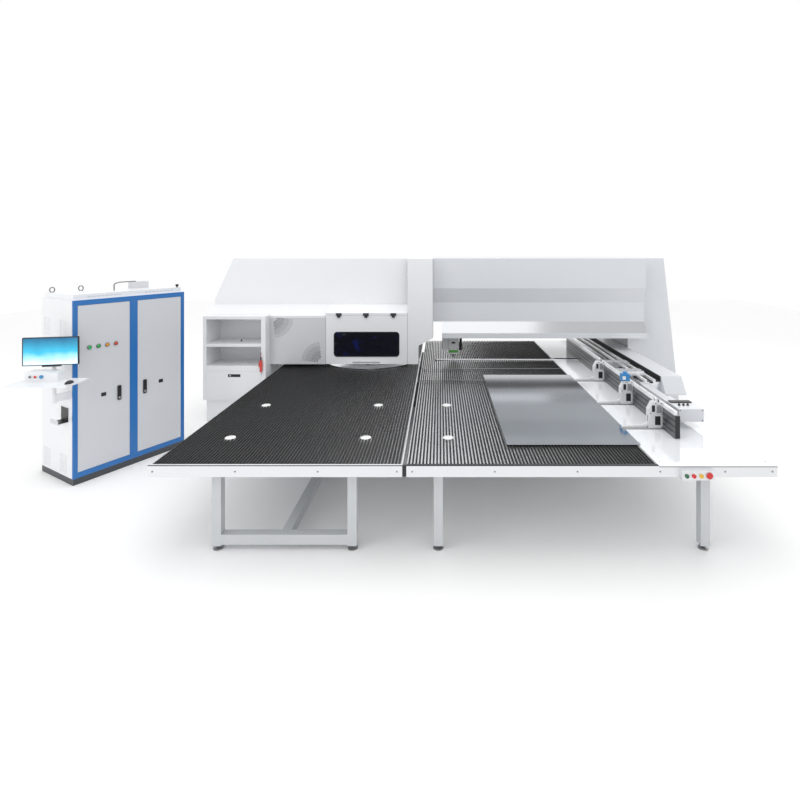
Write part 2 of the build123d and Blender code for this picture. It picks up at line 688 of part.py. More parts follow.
# Air gun for blowing chips off, hung on a peg on the cabinet's front edge
gun_x = tool_right - 60
gun_low = 768.0
gun_thickness = 28.0
barrel_length = 119.0
with BuildPart() as air_gun:
    gun_side = facing(gun_x, tool_front - 12, gun_low)
    with BuildSketch(gun_side) as body:
        with BuildLine():
            Polyline((-15, 0), (15, 0), (22, 95), (14, 174), (-14, 174), (-20, 150), (-12, 90), close=True)
        make_face()
        fillet(body.vertices(), 5)
    extrude(body.sketch, amount=gun_thickness)
    barrel = Plane(origin=(gun_x, tool_front - 12 - gun_thickness / 2, gun_low + 174))
    rod(barrel, 7, barrel_length * 0.4)
    rod(barrel, 4, barrel_length)
    rod(facing(gun_x, tool_front - feed_gap, gun_low + 140), 5, 12)
    with BuildSketch(facing(gun_x, tool_front - 20, gun_low)) as trigger:
        with BuildLine():
            Polyline((-14, 100), (-20, 150), (-28, 152), (-34, 96), (-30, 60), (-26, 62), close=True)
        make_face()
    extrude(trigger.sketch, amount=12)
air_gun.part.label = "air_gun"
export_step(air_gun.part, "parts/air_gun.step")

# Feed guide, which crosses the table on rails under the bridge
guide_floor = table_top + feed_gap
guide_middle = (guide_left + guide_bed_right) / 2
guide_half = (guide_bed_right - guide_left) / 2
damper_x = guide_left + 45
damper_z = 835.0
with BuildPart() as guide_bed:
    guide_height = guide_bed_top - guide_floor
    with BuildSketch(facing(guide_middle, guide_far, guide_floor)) as profile:
        with Locations((0, guide_height / 2)):
            Rectangle(guide_bed_right - guide_left, guide_height)
        with Locations((5 - guide_half, 45), (5 - guide_half, 85)):
            Rectangle(10, 14, mode=Mode.SUBTRACT)
        with Locations((10, guide_height - 9)):
            Rectangle(50, 18, mode=Mode.SUBTRACT)
    extrude(profile.sketch, amount=guide_far - guide_near)
    for x in (guide_left + 20, guide_bed_right - 110):
        block(x, x + 90, slot_front + 20, slot_back - 20, table_top - 12 + feed_gap, guide_floor)
    rod(facing(damper_x, guide_near, damper_z), 14, 90)
    rod(facing(damper_x, guide_near - 90, damper_z), 6, 45)
guide_bed.part.label = "guide_bed"
export_step(guide_bed.part, "parts/guide_bed.step")

with BuildPart() as guide_cover:
    block(guide_bed_right, guide_right, guide_near, guide_far, guide_floor, guide_top)
    nose = Plane(origin=(guide_bed_right, 0, 0), x_dir=(0, 1, 0), z_dir=(1, 0, 0))
    prism(nose, ((guide_near, guide_top), (guide_near - 130, 812), (guide_near - 130, guide_floor),
                    (guide_near, guide_floor)), guide_right - guide_bed_right)
guide_cover.part.label = "guide_cover"
export_step(guide_cover.part, "parts/guide_cover.step")

rail_x = 3757.0
second_rail_x = 3868.0
rail_half = 17.0
rail_rise = 25.0
with BuildPart() as guide_rail:
    for x in (rail_x, second_rail_x):
        with BuildSketch(facing(x, guide_far, guide_bed_top)) as profile:
            with BuildLine():
                Polyline((-rail_half, 0), (rail_half, 0), (rail_half, 8), (rail_half - 5, 12),
                         (rail_half - 5, rail_rise - 7), (rail_half, rail_rise - 4), (rail_half, rail_rise),
                         (-rail_half, rail_rise), (-rail_half, rail_rise - 4), (5 - rail_half, rail_rise - 7),
                         (5 - rail_half, 12), (-rail_half, 8), close=True)
            make_face()
        extrude(profile.sketch, amount=guide_far - guide_near)
guide_rail.part.label = "guide_rail"
export_step(guide_rail.part, "parts/guide_rail.step")

with BuildPart() as cross_rails:
    block(right_table_left + 220, deck_right - 20, (slot_front + slot_back) / 2 - 15,
          (slot_front + slot_back) / 2 + 15, base_top, table_top - 12)
cross_rails.part.label = "cross_rails"
export_step(cross_rails.part, "parts/cross_rails.step")

# Feed beam with its sheet clamps, carried on the guide rail
slot_mouth = 12.0
slot_depth = 7.0
slot_chamber = 22.0
chamber_depth = 6.0
beam_slots = (55.0, 110.0, 165.0)
with BuildPart() as feed_beam:
    far_end = facing(beam_left + beam_width / 2, beam_far, guide_floor)
    beam_depth = beam_top - guide_floor
    with BuildSketch(far_end) as profile:
        with Locations((0, beam_depth / 2)):
            Rectangle(beam_width, beam_depth)
        for z in beam_slots:
            for side in (-1, 1):
                with Locations((side * (beam_width - slot_depth) / 2, z)):
                    Rectangle(slot_depth, slot_mouth, mode=Mode.SUBTRACT)
                with Locations((side * (beam_width / 2 - slot_depth - chamber_depth / 2), z)):
                    Rectangle(chamber_depth, slot_chamber, mode=Mode.SUBTRACT)
    extrude(profile.sketch, amount=beam_far - beam_near)
feed_beam.part.label = "feed_beam"
export_step(feed_beam.part, "parts/feed_beam.step")

with BuildPart() as beam_rail:
    block(beam_left, beam_left + 28, beam_near + 10, beam_far, beam_top, beam_top + 38)
beam_rail.part.label = "beam_rail"
export_step(beam_rail.part, "parts/beam_rail.step")

with BuildPart() as beam_carriages:
    for y in (-1800, -1300):
        block(beam_left + beam_width, rail_x + 50, y, y + 160, guide_bed_top + rail_rise + 4, beam_top)
        block(rail_x - 40, rail_x + 40, y, y + 160, guide_bed_top + 4, beam_top)
        block(rail_x - rail_half - feed_gap, rail_x + rail_half + feed_gap, y - 1, y + 161, guide_bed_top,
              guide_bed_top + rail_rise + feed_gap, Mode.SUBTRACT)
beam_carriages.part.label = "beam_carriages"
export_step(beam_carriages.part, "parts/beam_carriages.step")

box_left = 3567.0
box_right = 3820.0
box_near = -3227.0
box_back = -2950.0
box_low = 868.0
box_high = 997.0
arm_thickness = 32.0
arm_left = guide_bed_right - 250
with BuildPart() as valve_box:
    with BuildSketch(facing((box_left + box_right) / 2, box_back, (box_low + box_high) / 2)) as profile:
        RectangleRounded(box_right - box_left, box_high - box_low, 6)
    extrude(profile.sketch, amount=box_back - box_near)
    block(arm_left, arm_left + 100, box_back, guide_near, box_low, box_low + arm_thickness)
valve_box.part.label = "valve_box"
export_step(valve_box.part, "parts/valve_box.step")

sheet_bottom = table_top + feed_gap
with BuildPart() as sheet_metal:
    block(sheet_left, sheet_left + sheet_width, sheet_front, sheet_front + sheet_length,
          sheet_bottom, sheet_bottom + sheet_thickness)
sheet_metal.part.label = "sheet_metal"
export_step(sheet_metal.part, "parts/sheet_metal.step")

jaw_tip = brush_right + 5
pivot_x = clamp_left + 30
pivot_z = 850.0
pin_radius = 6.0
window_right = clamp_left + 55
with BuildPart() as clamp_bodies:
    for y in clamp_places:
        side = Plane(origin=(0, y + clamp_width / 2, 0), x_dir=(1, 0, 0), z_dir=(0, -1, 0))
        prism(side, ((jaw_tip, deck_top + feed_gap), (beam_left, deck_top + feed_gap), (beam_left, clamp_top),
                     (clamp_left + 40, clamp_top), (clamp_left, 990), (clamp_left, table_top),
                     (jaw_tip, table_top)), clamp_width)
        block(clamp_left - 1, window_right, y - 15, y + 15, table_top, 925, Mode.SUBTRACT)
        rod(Plane(origin=(pivot_x, y + 15, pivot_z), x_dir=(1, 0, 0), z_dir=(0, -1, 0)), pin_radius, 30)
clamp_bodies.part.label = "clamp_bodies"
export_step(clamp_bodies.part, "parts/clamp_bodies.step")

jaw_bottom = sheet_bottom + sheet_thickness + feed_gap
with BuildPart() as clamp_jaws:
    for y in clamp_places:
        side = Plane(origin=(0, y + 14, 0), x_dir=(1, 0, 0), z_dir=(0, -1, 0))
        prism(side, ((jaw_tip, jaw_bottom), (sheet_left + sheet_width - 2, jaw_bottom),
                     (pivot_x + 12, pivot_z - 30), (pivot_x + 14, pivot_z + 12), (pivot_x - 14, pivot_z + 12),
                     (clamp_left - 40, jaw_bottom + 30), (jaw_tip, jaw_bottom + 12)), 28)
        rod(Plane(origin=(pivot_x, y + 15, pivot_z), x_dir=(1, 0, 0), z_dir=(0, -1, 0)),
            pin_radius + bearing_gap, 30, Mode.SUBTRACT)
clamp_jaws.part.label = "clamp_jaws"
export_step(clamp_jaws.part, "parts/clamp_jaws.step")

# Control strip on the right front rail
strip_left = 3164.0
strip_right = 3443.0
strip_low = 692.0
strip_high = 770.0
strip_depth = 45.0
strip_face = table_front - strip_depth
button_z = (strip_low + strip_high) / 2
buttons = (("start_button", 3200, 17), ("stop_button", 3259, 17), ("reset_button", 3321, 17),
           ("emergency_button", 3392, 28))
with BuildPart() as control_strip:
    block(strip_left, strip_right, strip_face, table_front, strip_low, strip_high)
    for name, x, radius in buttons:
        rod(facing(x, strip_face, button_z), 13, -30, Mode.SUBTRACT)
control_strip.part.label = "control_strip"
export_step(control_strip.part, "parts/control_strip.step")

for name, x, radius in buttons:
    with BuildPart() as button:
        rod(facing(x, strip_face - 6, button_z), radius, 10)
        rod(facing(x, strip_face - 6, button_z), 12.7, -24)
    button.part.label = name
    export_step(button.part, "parts/" + name + ".step")

# Electrical cabinets
with BuildPart() as cabinet_plinth:
    block(0, cabinet_width, 0, cabinet_depth, 0, plinth_height, base=cabinet)
cabinet_plinth.part.label = "cabinet_plinth"
export_step(cabinet_plinth.part, "parts/cabinet_plinth.step")

wall = 20.0
roof_height = 62.0
roof_inset = 40.0
mount_plate_back = 60.0
louvre_pitch = 21.0
louvre_count = 10
louvre_length = 170.0
louvre_height = 8.0
louvre_depth = 5.0
louvre_columns = (220.0, 615.0)
louvre_rows = (205.0, 1722.0)
with BuildPart() as cabinet_shell:
    block(0, cabinet_width, 25, cabinet_depth, plinth_height, cabinet_height, base=cabinet)
    block(wall, cabinet_width - wall, roof_inset, cabinet_depth - wall, cabinet_height,
          cabinet_height + roof_height, base=cabinet)
    block(wall, cabinet_width - wall, 24, cabinet_depth - mount_plate_back, plinth_height + wall,
          cabinet_height - wall, Mode.SUBTRACT, base=cabinet)
    for v in louvre_columns:
        for z in louvre_rows:
            side = Plane(origin=cabinet.from_local_coords(Vector(0, v, z)), x_dir=cabinet.y_dir,
                         z_dir=-cabinet.x_dir)
            with BuildSketch(side) as louvres:
                with GridLocations(0, louvre_pitch, 1, louvre_count):
                    SlotOverall(louvre_length, louvre_height)
            extrude(louvres.sketch, amount=-louvre_depth, mode=Mode.SUBTRACT)
cabinet_shell.part.label = "cabinet_shell"
export_step(cabinet_shell.part, "parts/cabinet_shell.step")

door_low = plinth_height + 60
door_high = cabinet_height - 58
door_wide = (cabinet_width - 2 * cabinet_border - cabinet_post) / 2
door_starts = (cabinet_border, cabinet_width - cabinet_border - door_wide)
pivot_places = (cabinet_border + 8, cabinet_width - cabinet_border - 8)
pivot_v = 7.0
pivot_radius = 3.0
pivot_reach = 16.0


def cabinet_up(u, v, z):
    """A level plane at a point in the cabinet's own measures."""
    return Plane(origin=cabinet.from_local_coords(Vector(u, v, z)), x_dir=cabinet.x_dir, z_dir=(0, 0, 1))


with BuildPart() as cabinet_frame:
    block(0, cabinet_width, 0, 25, plinth_height, cabinet_height, base=cabinet)
    for u in door_starts:
        block(u, u + door_wide, -1, 25, door_low, door_high, Mode.SUBTRACT, base=cabinet)
    for u in pivot_places:
        for z in (door_low, door_high - pivot_reach):
            rod(cabinet_up(u, pivot_v, z), pivot_radius, pivot_reach)
cabinet_frame.part.label = "cabinet_frame"
export_step(cabinet_frame.part, "parts/cabinet_frame.step")

for name, u, pivot in zip(("cabinet_door_left", "cabinet_door_right"), door_starts, pivot_places):
    with BuildPart() as door:
        block(u + 2, u + door_wide - 2, 2, 2 + cabinet_door_thickness, door_low + 2, door_high - 2,
              base=cabinet)
        for z in (door_low - 1, door_high - pivot_reach - 1):
            rod(cabinet_up(pivot, pivot_v, z), pivot_radius + bearing_gap, pivot_reach + 2, Mode.SUBTRACT)
    door.part.label = name
    export_step(door.part, "parts/" + name + ".step")


def cabinet_facing(u, v, z):
    """A plane at a point in the cabinet's own measures, looking out of its front."""
    at = cabinet.from_local_coords(Vector(u, v, z))
    return Plane(origin=at, x_dir=cabinet.x_dir, z_dir=-cabinet.y_dir)


lamp_places = (162, 255, 348, 441)
lamp_z = 1508.0
with BuildPart() as cabinet_lamps:
    for u in lamp_places:
        rod(cabinet_facing(u, 2, lamp_z), 25, 14)
cabinet_lamps.part.label = "cabinet_lamps"
export_step(cabinet_lamps.part, "parts/cabinet_lamps.step")

for name, u in (("left_latch", 478), ("right_latch", 776)):
    with BuildPart() as latch:
        with BuildSketch(cabinet_facing(u, 2 - cover_clear, 915)) as plate:
            RectangleRounded(40, 170, 10)
        extrude(plate.sketch, amount=14)
    latch.part.label = name
    export_step(latch.part, "parts/" + name + ".step")

# Operator's console on a post at the cabinet's side
post_u = -150.0
post_v = 65.0
post_radius = 20.0
screen_turn = 10.0
screen_width = 540.0
screen_height = 302.0
screen_depth = 22.0
screen_back = 25.0
screen_z = 1528.0
bezel_edge = 9.0
bezel_lip = 1.5
tray_z = 1207.0
tray_thickness = 14.0
tray_reach = 320.0
box_reach = 150.0
shelf_reach = 110.0
shelf_start = 90.0
shelf_end = 260.0
shelf_z = 690.0
post = cabinet.from_local_coords(Vector(post_u, post_v, 0))
screen_out = Vector(sin(radians(screen_turn)), -cos(radians(screen_turn)), 0)
screen_reach = post_radius + feed_gap + screen_depth + screen_back
screen_plane = Plane(
    origin=post + screen_out * screen_reach + Vector(0, 0, screen_z),
    x_dir=(cos(radians(screen_turn)), sin(radians(screen_turn)), 0),
    z_dir=screen_out,
)
with BuildPart() as monitor:
    with BuildSketch(screen_plane) as bezel:
        RectangleRounded(screen_width, screen_height, 6)
    extrude(bezel.sketch, amount=-screen_depth)
    with BuildSketch(screen_plane.offset(-screen_depth)) as back:
        Rectangle(screen_width * 0.5, screen_height * 0.55)
    extrude(back.sketch, amount=-screen_back, taper=12)
    with BuildSketch(screen_plane) as glass:
        RectangleRounded(screen_width - 2 * bezel_edge, screen_height - 2 * bezel_edge, 3)
    extrude(glass.sketch, amount=-bezel_lip, mode=Mode.SUBTRACT)
monitor.part.label = "monitor"
export_step(monitor.part, "parts/monitor.step")

tray_top = tray_z + tray_thickness
box_front = post.Y - box_reach
with BuildPart() as console_stand:
    rod(Plane(origin=(post.X, post.Y, 950)), post_radius, screen_z + 60 - 950)
    block(post_u, 0, post_v - 20, post_v + 20, 960, 1040, base=cabinet)
    block(post.X - 275, post.X + 375, post.Y - tray_reach, post.Y + 10, tray_z, tray_top)
    block(post.X - 195, post.X + 155, box_front, post.Y - post_radius, tray_top, tray_top + 100)
    block(-shelf_reach, 0, shelf_start, shelf_end, shelf_z, shelf_z + 6, base=cabinet)
    block(-shelf_reach, 6 - shelf_reach, shelf_start, shelf_end, shelf_z, shelf_z + 45, base=cabinet)
    block(-6, 0, shelf_start, shelf_end, shelf_z, shelf_z + 160, base=cabinet)
    for x in (post.X - 130, post.X - 75):
        rod(facing(x, box_front, tray_top + 55), 11, 12)
console_stand.part.label = "console_stand"
export_step(console_stand.part, "parts/console_stand.step")

with BuildPart() as console_knob:
    rod(facing(post.X - 15, box_front - cover_clear, tray_top + 55), 18, 12)
console_knob.part.label = "console_knob"
export_step(console_knob.part, "parts/console_knob.step")
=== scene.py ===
import math

import bmesh
import bpy
from mathutils import Matrix, Vector


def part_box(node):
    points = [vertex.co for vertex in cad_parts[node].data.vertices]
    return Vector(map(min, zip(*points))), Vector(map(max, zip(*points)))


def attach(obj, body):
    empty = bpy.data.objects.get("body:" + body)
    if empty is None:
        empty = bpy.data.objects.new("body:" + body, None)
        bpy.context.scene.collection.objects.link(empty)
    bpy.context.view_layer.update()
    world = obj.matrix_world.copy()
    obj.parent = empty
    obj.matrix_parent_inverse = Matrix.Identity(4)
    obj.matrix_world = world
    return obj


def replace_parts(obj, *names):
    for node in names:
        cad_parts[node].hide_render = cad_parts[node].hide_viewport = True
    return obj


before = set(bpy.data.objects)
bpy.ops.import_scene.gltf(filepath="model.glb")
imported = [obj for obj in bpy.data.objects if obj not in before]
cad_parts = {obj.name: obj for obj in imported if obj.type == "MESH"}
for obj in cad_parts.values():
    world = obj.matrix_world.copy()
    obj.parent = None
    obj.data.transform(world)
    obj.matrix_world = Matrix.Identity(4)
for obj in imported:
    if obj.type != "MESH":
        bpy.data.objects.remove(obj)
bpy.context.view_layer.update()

# Camera, floor and studio
# The view stands low in front of the two tables and looks along their brush rows.
# A pale floor, a white room and three large soft lamps stand in for the studio.
eye = Vector((1.136, -8.2, 2.645))
camera_data = bpy.data.cameras.new("camera")
camera_data.lens = 22
camera_data.shift_x = -0.05
camera_data.shift_y = -0.191
camera_data.clip_end = 100
camera = bpy.data.objects.new("camera", camera_data)
camera.location = eye
camera.rotation_euler = (math.radians(90), 0, 0)
bpy.context.collection.objects.link(camera)
bpy.context.scene.camera = camera
bpy.context.scene.view_settings.view_transform = "Standard"


def new_piece(name, mesh_builder, material, smooth=False):
    """Link a mesh object at the origin, with its faces turned outwards and one finish."""
    mesh = bpy.data.meshes.new(name)
    bmesh.ops.recalc_face_normals(mesh_builder, faces=mesh_builder.faces)
    mesh_builder.to_mesh(mesh)
    mesh_builder.free()
    mesh.materials.append(material)
    for face in mesh.polygons:
        face.use_smooth = smooth
    piece = bpy.data.objects.new(name, mesh)
    bpy.context.collection.objects.link(piece)
    return piece


def finish_of(name, colour, roughness, metallic=0.0, grain=700.0, mottle=0.03, relief=0.02,
              streak=(1, 1, 1), gloss_spread=0.08, coat=0.0):
    """A made surface: its colour, gloss and relief all vary a little from place to place."""
    material = bpy.data.materials.new(name)
    material.use_nodes = True
    tree = material.node_tree
    shader = tree.nodes["Principled BSDF"]
    shader.inputs["Metallic"].default_value = metallic
    shader.inputs["Coat Weight"].default_value = coat
    place = tree.nodes.new("ShaderNodeTexCoord")
    stretch = tree.nodes.new("ShaderNodeMapping")
    stretch.inputs["Scale"].default_value = streak
    tree.links.new(place.outputs["Object"], stretch.inputs["Vector"])
    fine = tree.nodes.new("ShaderNodeTexNoise")
    fine.inputs["Scale"].default_value = grain
    fine.inputs["Detail"].default_value = 3
    broad = tree.nodes.new("ShaderNodeTexNoise")
    broad.inputs["Scale"].default_value = 2.3
    broad.inputs["Detail"].default_value = 4
    tree.links.new(stretch.outputs["Vector"], fine.inputs["Vector"])
    tree.links.new(place.outputs["Object"], broad.inputs["Vector"])
    tint = tree.nodes.new("ShaderNodeMix")
    tint.data_type = "RGBA"
    tint.inputs["A"].default_value = (*[c * (1 - mottle) for c in colour], 1)
    tint.inputs["B"].default_value = (*[min(1, c * (1 + mottle)) for c in colour], 1)
    tree.links.new(broad.outputs["Fac"], tint.inputs["Factor"])
    tree.links.new(tint.outputs["Result"], shader.inputs["Base Color"])
    gloss = tree.nodes.new("ShaderNodeMapRange")
    gloss.inputs["To Min"].default_value = max(0.02, roughness - gloss_spread)
    gloss.inputs["To Max"].default_value = roughness + gloss_spread
    tree.links.new(fine.outputs["Fac"], gloss.inputs["Value"])
    tree.links.new(gloss.outputs["Result"], shader.inputs["Roughness"])
    bump = tree.nodes.new("ShaderNodeBump")
    bump.inputs["Strength"].default_value = relief
    bump.inputs["Distance"].default_value = 0.001
    tree.links.new(fine.outputs["Fac"], bump.inputs["Height"])
    tree.links.new(bump.outputs["Normal"], shader.inputs["Normal"])
    return material


def dress(material, *nodes):
    """Give machined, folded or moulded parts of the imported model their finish."""
    for node in nodes:
        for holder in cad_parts[node].material_slots:
            holder.material = material


floor_half = 16.0
builder = bmesh.new()
bmesh.ops.create_grid(builder, x_segments=1, y_segments=1, size=floor_half)
studio_floor = finish_of("pale_floor", (0.97, 0.97, 0.97), 0.6, grain=40, mottle=0.01, relief=0.0)
new_piece("floor", builder, studio_floor)

room = bpy.data.worlds.new("white_room")
room.use_nodes = True
room.node_tree.nodes["Background"].inputs["Color"].default_value = (1.0, 1.0, 1.0, 1)
room.node_tree.nodes["Background"].inputs["Strength"].default_value = 1.0
bpy.context.scene.world = room

soft_lamps = {
    "overhead": ((0.5, -2.5, 6.5), (0, 0, 0), 7.0, 130),
    "front_left": ((-6.0, -8.5, 5.5), (52, 0, -36), 4.0, 80),
    "back_right": ((7.5, 3.5, 5.5), (-45, 35, 0), 4.0, 45),
}
for name, (where, aim, across, watts) in soft_lamps.items():
    lamp = bpy.data.lights.new(name, "AREA")
    lamp.size = across
    lamp.energy = watts
    stand = bpy.data.objects.new(name, lamp)
    stand.location = where
    stand.rotation_euler = [math.radians(a) for a in aim]
    bpy.context.collection.objects.link(stand)

# Table frames and front rails
# Two welded frames of square tube on levelling feet, powder coated in a light grey.
# Each table front is closed by an extruded rail; a black bar finishes the edge of the right one.


def bar(builder, low, high, bevel=0.002, turn=None):
    """A bevelled bar or plate between two corners, in metres, then turned by a matrix if one is given."""
    size = Vector(high) - Vector(low)
    middle = (Vector(high) + Vector(low)) / 2
    made = bmesh.ops.create_cube(builder, size=1, matrix=Matrix.LocRotScale(middle, None, size))
    edges = {edge for vertex in made["verts"] for edge in vertex.link_edges}
    width = min(bevel, min(size) * 0.3)
    result = bmesh.ops.bevel(builder, geom=list(edges), offset=width, segments=2, affect="EDGES", profile=0.5)
    if turn is not None:
        corners = {vertex for face in result["faces"] for vertex in face.verts}
        bmesh.ops.transform(builder, matrix=turn, verts=list(corners))


def turned(builder, start, direction, profile, sides=24):
    """A round piece on an axis: profile lists (distance along the axis, radius) from end to end."""
    along = Vector(direction).normalized()
    across = along.orthogonal().normalized()
    up = along.cross(across)
    rings = []
    for distance, radius in profile:
        centre = Vector(start) + along * distance
        rings.append([builder.verts.new(centre + (across * math.cos(a) + up * math.sin(a)) * radius)
                      for a in (math.tau * i / sides for i in range(sides))])
    for near, far in zip(rings, rings[1:]):
        for i in range(sides):
            j = (i + 1) % sides
            builder.faces.new((near[i], near[j], far[j], far[i]))
    builder.faces.new(rings[0][::-1])
    builder.faces.new(rings[-1])


def repeat_tree():
    """Geometry nodes that set a short round piece on every point, upright along a stated direction."""
    tree = bpy.data.node_groups.new("repeat_on_points", "GeometryNodeTree")
    face = tree.interface
    face.new_socket("Geometry", in_out="INPUT", socket_type="NodeSocketGeometry")
    names = {}
    for label, kind in (("Sides", "NodeSocketInt"), ("Foot radius", "NodeSocketFloat"),
                        ("Head radius", "NodeSocketFloat"), ("Depth", "NodeSocketFloat"),
                        ("Facing", "NodeSocketVector"), ("Unevenness", "NodeSocketFloat"),
                        ("Finish", "NodeSocketMaterial")):
        names[label] = face.new_socket(label, in_out="INPUT", socket_type=kind).identifier
    face.new_socket("Geometry", in_out="OUTPUT", socket_type="NodeSocketGeometry")
    start = tree.nodes.new("NodeGroupInput")
    end = tree.nodes.new("NodeGroupOutput")
    cone = tree.nodes.new("GeometryNodeMeshCone")
    on_points = tree.nodes.new("GeometryNodeInstanceOnPoints")
    align = tree.nodes.new("FunctionNodeAlignRotationToVector")
    align.axis = "Z"
    spread = tree.nodes.new("FunctionNodeRandomValue")
    spread.data_type = "FLOAT"
    spread.inputs["Seed"].default_value = 7
    low = tree.nodes.new("ShaderNodeMath")
    low.operation = "SUBTRACT"
    low.inputs[0].default_value = 1.0
    realize = tree.nodes.new("GeometryNodeRealizeInstances")
    paint = tree.nodes.new("GeometryNodeSetMaterial")
    link = tree.links.new
    link(start.outputs["Sides"], cone.inputs["Vertices"])
    link(start.outputs["Foot radius"], cone.inputs["Radius Bottom"])
    link(start.outputs["Head radius"], cone.inputs["Radius Top"])
    link(start.outputs["Depth"], cone.inputs["Depth"])
    link(start.outputs["Facing"], align.inputs["Vector"])
    link(start.outputs["Unevenness"], low.inputs[1])
    link(low.outputs[0], spread.inputs[2])
    link(start.outputs["Geometry"], on_points.inputs["Points"])
    link(cone.outputs["Mesh"], on_points.inputs["Instance"])
    link(align.outputs["Rotation"], on_points.inputs["Rotation"])
    link(spread.outputs[1], on_points.inputs["Scale"])
    link(on_points.outputs["Instances"], realize.inputs["Geometry"])
    link(realize.outputs["Geometry"], paint.inputs["Geometry"])
    link(start.outputs["Finish"], paint.inputs["Material"])
    link(paint.outputs["Geometry"], end.inputs["Geometry"])
    return tree, names


repeat_nodes, repeat_inputs = repeat_tree()


def repeated(name, points, body, material, facing, foot, head, depth, sides=10, unevenness=0.0):
    """One plain mesh of the same small piece on every point, riding on its body."""
    mesh = bpy.data.meshes.new(name + "_points")
    mesh.from_pydata([tuple(point) for point in points], [], [])
    holder = bpy.data.objects.new(name + "_points", mesh)
    bpy.context.collection.objects.link(holder)
    modifier = holder.modifiers.new("repeat", "NODES")
    modifier.node_group = repeat_nodes
    for label, value in (("Sides", sides), ("Foot radius", foot), ("Head radius", head), ("Depth", depth),
                         ("Facing", facing), ("Unevenness", unevenness), ("Finish", material)):
        modifier[repeat_inputs[label]] = value
    graph = bpy.context.evaluated_depsgraph_get()
    plain = bpy.data.meshes.new_from_object(holder.evaluated_get(graph))
    plain.name = name
    bpy.data.objects.remove(holder)
    piece = bpy.data.objects.new(name, plain)
    bpy.context.collection.objects.link(piece)
    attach(piece, body)
    return piece


def placed(name, builder, body, material, smooth=False):
    """A finished mesh piece that rides on its body."""
    piece = new_piece(name, builder, material, smooth)
    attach(piece, body)
    return piece

frame_paint = finish_of("grey_frame_paint", (0.56, 0.58, 0.60), 0.34, grain=900, mottle=0.04)
rail_metal = finish_of("anodised_rail", (0.76, 0.77, 0.79), 0.30, metallic=0.35, grain=900,
                       mottle=0.01, relief=0.006, gloss_spread=0.03)
foot_steel = finish_of("zinc_foot", (0.45, 0.45, 0.46), 0.35, metallic=1.0, grain=300)
black_plastic = finish_of("black_moulding", (0.014, 0.014, 0.016), 0.4, grain=900, relief=0.1)
screw_steel = finish_of("screw_steel", (0.22, 0.22, 0.23), 0.3, metallic=1.0, grain=400)
dress(frame_paint, "left_table_frame", "right_table_frame")
dress(rail_metal, "front_rails")
dress(foot_steel, "levelling_feet")
rail_low, rail_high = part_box("front_rails")
deck_low, deck_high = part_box("deck_plate")
table_left = rail_low[0]
table_front = rail_low[1]
brush_right = deck_low[0]
deck_right = deck_high[0]
gap_left = 0.816
gap_right = 0.851
rail_top = rail_high[2]
trim = bmesh.new()
bar(trim, (gap_right, table_front - 0.001, rail_top), (brush_right, table_front + 0.03, rail_top + 0.007))
bar(trim, (brush_right, table_front - 0.001, rail_top - 0.009),
    (deck_right, table_front + 0.002, rail_top - 0.004))
bar(trim, (table_left, table_front - 0.001, rail_top), (gap_left, table_front + 0.012, rail_top + 0.003))
bar(trim, (gap_left + 0.001, table_front + 0.004, rail_low[2]),
    (gap_right - 0.001, table_front + 0.03, rail_top))
placed("table_edge_bars", trim, "machine", black_plastic)
rail_bolts = [(x, table_front, rail_low[2] + 0.046) for x in
              (-1.30, -0.60, 0.10, 0.77, 0.90, 1.60, 2.30, 3.00, 3.55, 3.95)]
repeated("rail_bolts", rail_bolts, "machine", screw_steel, (0, -1, 0), 0.007, 0.006, 0.004, sides=12)

# Brush bed
# Bright steel bed plates carry rows of black nylon brush that hold a sheet without scratching it.
# Each row is a holder strip with bundles of bristle; six ball units help to slide the sheet.
plate_steel = finish_of("bright_bed_plate", (0.86, 0.87, 0.88), 0.24, metallic=0.7, grain=160,
                        streak=(5, 0.1, 1), mottle=0.12)
bristle = finish_of("nylon_bristle", (0.010, 0.010, 0.011), 0.5, grain=1500, relief=0.4, mottle=0.3)
# The next finish is painted shade, a near-black laid over the brush seams.
brush_seam_shade = finish_of("painted_brush_seam_shade", (0.022, 0.022, 0.025), 0.35, metallic=0.4, grain=500)
bright_steel = finish_of("ground_steel", (0.80, 0.81, 0.83), 0.16, metallic=1.0, grain=220,
                         streak=(6, 0.2, 6))
white_moulding = finish_of("white_moulding", (0.80, 0.80, 0.80), 0.3, grain=700)
dress(plate_steel, "bed_plates")
dress(bright_steel, "turret_ring", "cross_rails")
dress(white_moulding, "ball_transfers")
brush_low, brush_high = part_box("brush_strips")
tip_z = brush_high[2]
holder_top = brush_low[2] + 0.007
row_pitch = 0.030
row_half = 0.0055
tuft_pitch = 0.025
table_back = brush_high[1]
brush_front = brush_low[1]
left_step = -0.253
left_step_x = -0.850
ring_clear = 0.797
ball_columns = (-0.905, 0.415, 1.215)
ball_rows = (-3.44, -2.46)
ball_clear = 0.059
ball_places = [(x, y) for x in ball_columns for y in ball_rows]
slot = (1.051, -0.180, -0.030)


def row_places(left, right):
    count = int((right - left) // row_pitch)
    start = (left + right - (count - 1) * row_pitch) / 2
    return [start + i * row_pitch for i in range(count)]


def open_here(x, y):
    """True where the bed is cut away for the turret, a ball unit or the cross rail."""
    if math.hypot(x, y) < ring_clear:
        return True
    if x > slot[0] and slot[1] - 0.004 < y < slot[2] + 0.004:
        return True
    return any(math.hypot(x - bx, y - by) < ball_clear for bx, by in ball_places)


